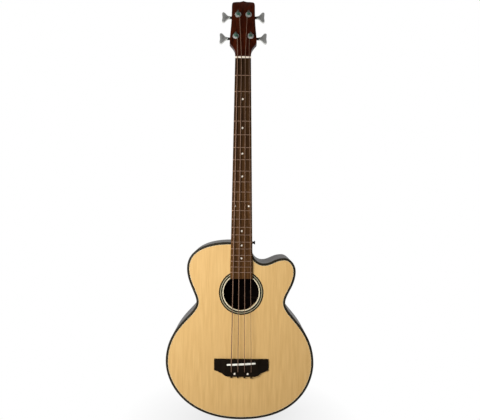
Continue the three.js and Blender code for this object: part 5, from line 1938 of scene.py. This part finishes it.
    def build_key(self) -> None:
        """Builds the key with its shaft and worm, and the dark collar on it."""
        start = self.reach - self.key_length
        inner = -self.pitch_radius - self.shaft_reach
        worm_end = self.worm_turns * math.pi * self.module / 2
        ferrule = start - self.ferrule_length
        thin, thick, wide = self.shaft_end_radius, self.shaft_radius, self.ferrule_radius
        soft = self.ferrule_round
        shaft = turned([
            (thin, inner), (thin, -worm_end - self.shaft_room), (thick, -worm_end),
            (thick, ferrule), (wide - soft, ferrule), (wide, ferrule + soft), (wide, start),
            *((radius, start + reach) for radius, reach in self.nose),
        ], count=32)
        low = self.pitch_radius + self.wall + self.boss_length
        high = ferrule + self.ferrule_length / 2
        first, second, third = (wide * share for share in self.collar_shares)
        collar = turned([
            (thick, low), (first, low), (second, low + self.collar_round), (third, ferrule),
            (wide + SEAM, ferrule + self.collar_step), (wide + SEAM, high), (thick, high),
        ], count=32, closed=True)
        place = self.seat() @ self.axle()
        side = place if string_side(self.number) > 0 else place @ turn(180, "Z")
        out, body = side @ turn(90, "Y"), Body.KEY.of(self.name)
        grip = self.grip().placed(side @ Matrix.Translation((start, 0, 0)))
        piece(f"key_{self.name}", grip, CHROME, body=body, replaces=[f"tuner_key_{self.name}"])
        driven = shaft.placed(out).joined(self.worm().placed(place))
        piece(f"key_shaft_{self.name}", driven, POST_STEEL, body=body)
        piece(f"key_collar_{self.name}", collar.placed(out), PLASTIC, body=body)


GAUGES_AND_TURNS = ((2.6, 2), (2.1, 2), (1.7, 3), (1.3, 3))
STRINGS = [BassString(i, *pair) for i, pair in enumerate(GAUGES_AND_TURNS)]
TUNERS = [Tuner(i, lower_row=i in (0, 3)) for i in range(len(STRINGS))]


# ---- strap hardware and plain dressing ----


@dataclass(frozen=True)
class StrapHardware:
    """The strap button by the heel and the end pin at the tail.

    The profiles are pairs of radius and height over the place.
    """

    button_at: tuple = (31.3, -527.5, -58.0)
    button: tuple = (
        (4.2, -0.25), (4.2, 1.0), (3.9, 1.6), (3.3, 2.8), (3.35, 4.5), (4.6, 6.8), (5.6, 8.0),
        (5.8, 8.7), (5.5, 9.2), (4.6, 9.55), (2.2, 9.6), (1.9, 9.3),
    )
    screw: tuple = ((1.7, 8.8), (1.7, 9.5), (1.2, 9.6))
    pin_at: tuple = (0.0, -1027.3, -59.0)
    pin: tuple = (
        (4.0, -15.0), (4.0, 0.0), (5.5, 0.35), (5.3, 1.6), (4.8, 3.4), (5.4, 5.2), (7.0, 6.6),
        (7.5, 7.5), (7.4, 8.3), (6.6, 8.9), (5.5, 9.0), (2.2, 9.0),
    )

    def build(self) -> None:
        """Builds both turned pieces and the button's screw."""
        place = Matrix.Translation(self.button_at) @ turn(90, "Y")
        button = turned(self.button, count=44).placed(place)
        piece("strap_cone", button, PLASTIC, replaces=["strap_button"])
        piece("strap_screw", turned(self.screw, count=24).placed(place), STEEL)
        place = Matrix.Translation(self.pin_at) @ turn(90, "X")
        pin = turned(self.pin, count=44).placed(place)
        piece("tail_pin", pin, PLASTIC, replaces=["end_pin"])


@dataclass(frozen=True)
class InnerWood:
    """The solids that stay as they are and only get their finishes."""

    # The back braces, the back strip and the bridge plate get near-black finishes: painted shade.
    finishes: tuple = (
        ("lining", BARE_CEDAR), ("block", BARE_CEDAR), ("back_brace", SHADED_BRACE),
        ("brace", BARE_SPRUCE), ("tone_bar", BARE_SPRUCE), ("back_strip", SHADED_BRACE),
        ("bridge_plate", PLATE_IN_SHADE), ("truss_rod", STEEL),
    )

    def dress(self) -> None:
        """Puts a finish on every solid that is still shown."""
        for name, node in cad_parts.items():
            if node.hide_render:
                continue
            finish = next(f for part, f in self.finishes if part in name)
            if not node.material_slots:
                node.data.materials.append(None)
            for slot in node.material_slots:
                slot.material = finish.build()
            LOG.info("%s: keeps its solid, finish %s", name, finish.name)


# ---- floor, light and camera ----


@dataclass(frozen=True)
class Studio:
    """The pale floor, the soft lights and the camera, in metres."""

    floor_radius: float = 14.0
    floor_drop: float = 0.0002
    floor_colour: Colour = (140, 140, 140)
    shadow_radius: float = 0.05
    fade_radius: float = 0.35
    least_share: float = 0.75
    ambient: float = 0.8
    open_end: float = 0.02
    open_edge: tuple = (-0.3, -0.05)
    key_power: float = 19.5
    key_size: float = 0.7
    key_place: tuple = (-0.7, -1.0, -0.25)
    key_aim: tuple = (0.0, 0.0, -0.6)
    lens: float = 28.54
    sensor: float = 36.0
    near: float = 0.05
    far: float = 60.0
    camera_place: tuple = (-0.0053, -1.085, -0.430)
    camera_roll: float = 0.458

    def build(self) -> None:
        """Builds floor, world, lamp and camera."""
        self.floor()
        self.world()
        self.lamp()
        self.camera()
        bpy.context.scene.view_settings.view_transform = "Standard"

    def background_rays(self, tree: Tree) -> Socket:
        """Finds the rays that look for the background: camera, mirror and glass.

        Args:
            tree: The tree of the floor's material or the world.

        Returns:
            1 on such a ray.
        """
        path = tree.add("LightPath").outputs
        seen = tree.maths("MAXIMUM", path["Is Camera Ray"], path["Is Glossy Ray"])
        return tree.maths("MAXIMUM", seen, path["Is Transmission Ray"])

    def floor(self) -> None:
        """Builds the floor, which keeps the shadow by the guitar and fades to white further off."""
        low = CAD_BOX[0].z - self.floor_drop
        ring = [(p.x, p.y, low) for p in circle(self.floor_radius, count=96)]
        mesh = bpy.data.meshes.new("floor")
        mesh.from_pydata(ring, [], [tuple(range(len(ring)))])
        obj = linked("floor", mesh)
        material = bpy.data.materials.new("floor")
        material.use_nodes = True
        tree = Tree(material.node_tree)
        plain = {"Base Color": linear(self.floor_colour), "Roughness": 0.8}
        shader = tree.add("BsdfPrincipled", plain)
        glow = tree.add("Emission", {"Color": (1, 1, 1, 1), "Strength": 1.0})
        flat = tree.vectors("MULTIPLY", tree.add("TexCoord").outputs["Object"], (1, 1, 0))
        reach = tree.add("VectorMath", {0: flat}, operation="LENGTH").outputs["Value"]
        fade = tree.ranged(reach, self.shadow_radius, self.fade_radius, self.least_share, 1.0)
        share = tree.maths("MULTIPLY", fade, self.background_rays(tree))
        mix = tree.add("MixShader", {0: share, 1: shader.outputs[0], 2: glow.outputs[0]})
        tree.add("OutputMaterial", {"Surface": mix.outputs[0]})
        mesh.materials.append(material)

    def world(self) -> None:
        """Makes a white surround whose end behind the camera is open and unlit."""
        world = bpy.data.worlds.new("surround")
        world.use_nodes = True
        bpy.context.scene.world = world
        tree = Tree(world.node_tree)
        toward = tree.add("SeparateXYZ", {0: tree.add("TexCoord").outputs["Generated"]}).outputs[1]
        lit = tree.ranged(toward, *self.open_edge, self.open_end, 1.0)
        level = tree.ranged(self.background_rays(tree), 0.0, 1.0, self.ambient, 1.0)
        camera = tree.add("LightPath").outputs["Is Camera Ray"]
        strength = tree.maths("MAXIMUM", tree.maths("MULTIPLY", level, lit), camera)
        background = tree.add("Background", {"Color": (1, 1, 1, 1), "Strength": strength})
        tree.add("OutputWorld", {"Surface": background.outputs[0]})

    def lamp(self) -> None:
        """Hangs one soft square lamp that faces the middle of the guitar."""
        light = bpy.data.lights.new("key_light", "AREA")
        light.energy, light.size = self.key_power, self.key_size
        obj = linked("key_light", light)
        obj.location = self.key_place
        aim = Vector(self.key_aim) - Vector(self.key_place)
        obj.rotation_euler = aim.to_track_quat("-Z", "Y").to_euler()
        obj.visible_camera = False

    def camera(self) -> None:
        """Places the camera level in front of the guitar, with its slight lean."""
        data = bpy.data.cameras.new("camera")
        data.lens, data.sensor_width = self.lens, self.sensor
        data.clip_start, data.clip_end = self.near, self.far
        obj = linked("camera", data)
        place = Matrix.Translation(self.camera_place)
        obj.matrix_world = place @ turn(90, "X") @ turn(self.camera_roll, "Z")
        bpy.context.scene.camera = obj


def main() -> None:
    """Builds the studio and the guitar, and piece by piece."""
    logging.basicConfig(level=logging.INFO, format="%(name)s %(message)s")
    Studio().build()
    bridge = Bridge()
    for part in (Soundbox(), Neck(), Headstock(), Fretboard(), Nut(), bridge):
        part.build()
    for string, tuner in zip(STRINGS, TUNERS):
        tuner.build()
        string.build(tuner, bridge)
    StrapHardware().build()
    InnerWood().dress()
    LOG.info("boxes written")


if __name__ == "__main__":
    main()
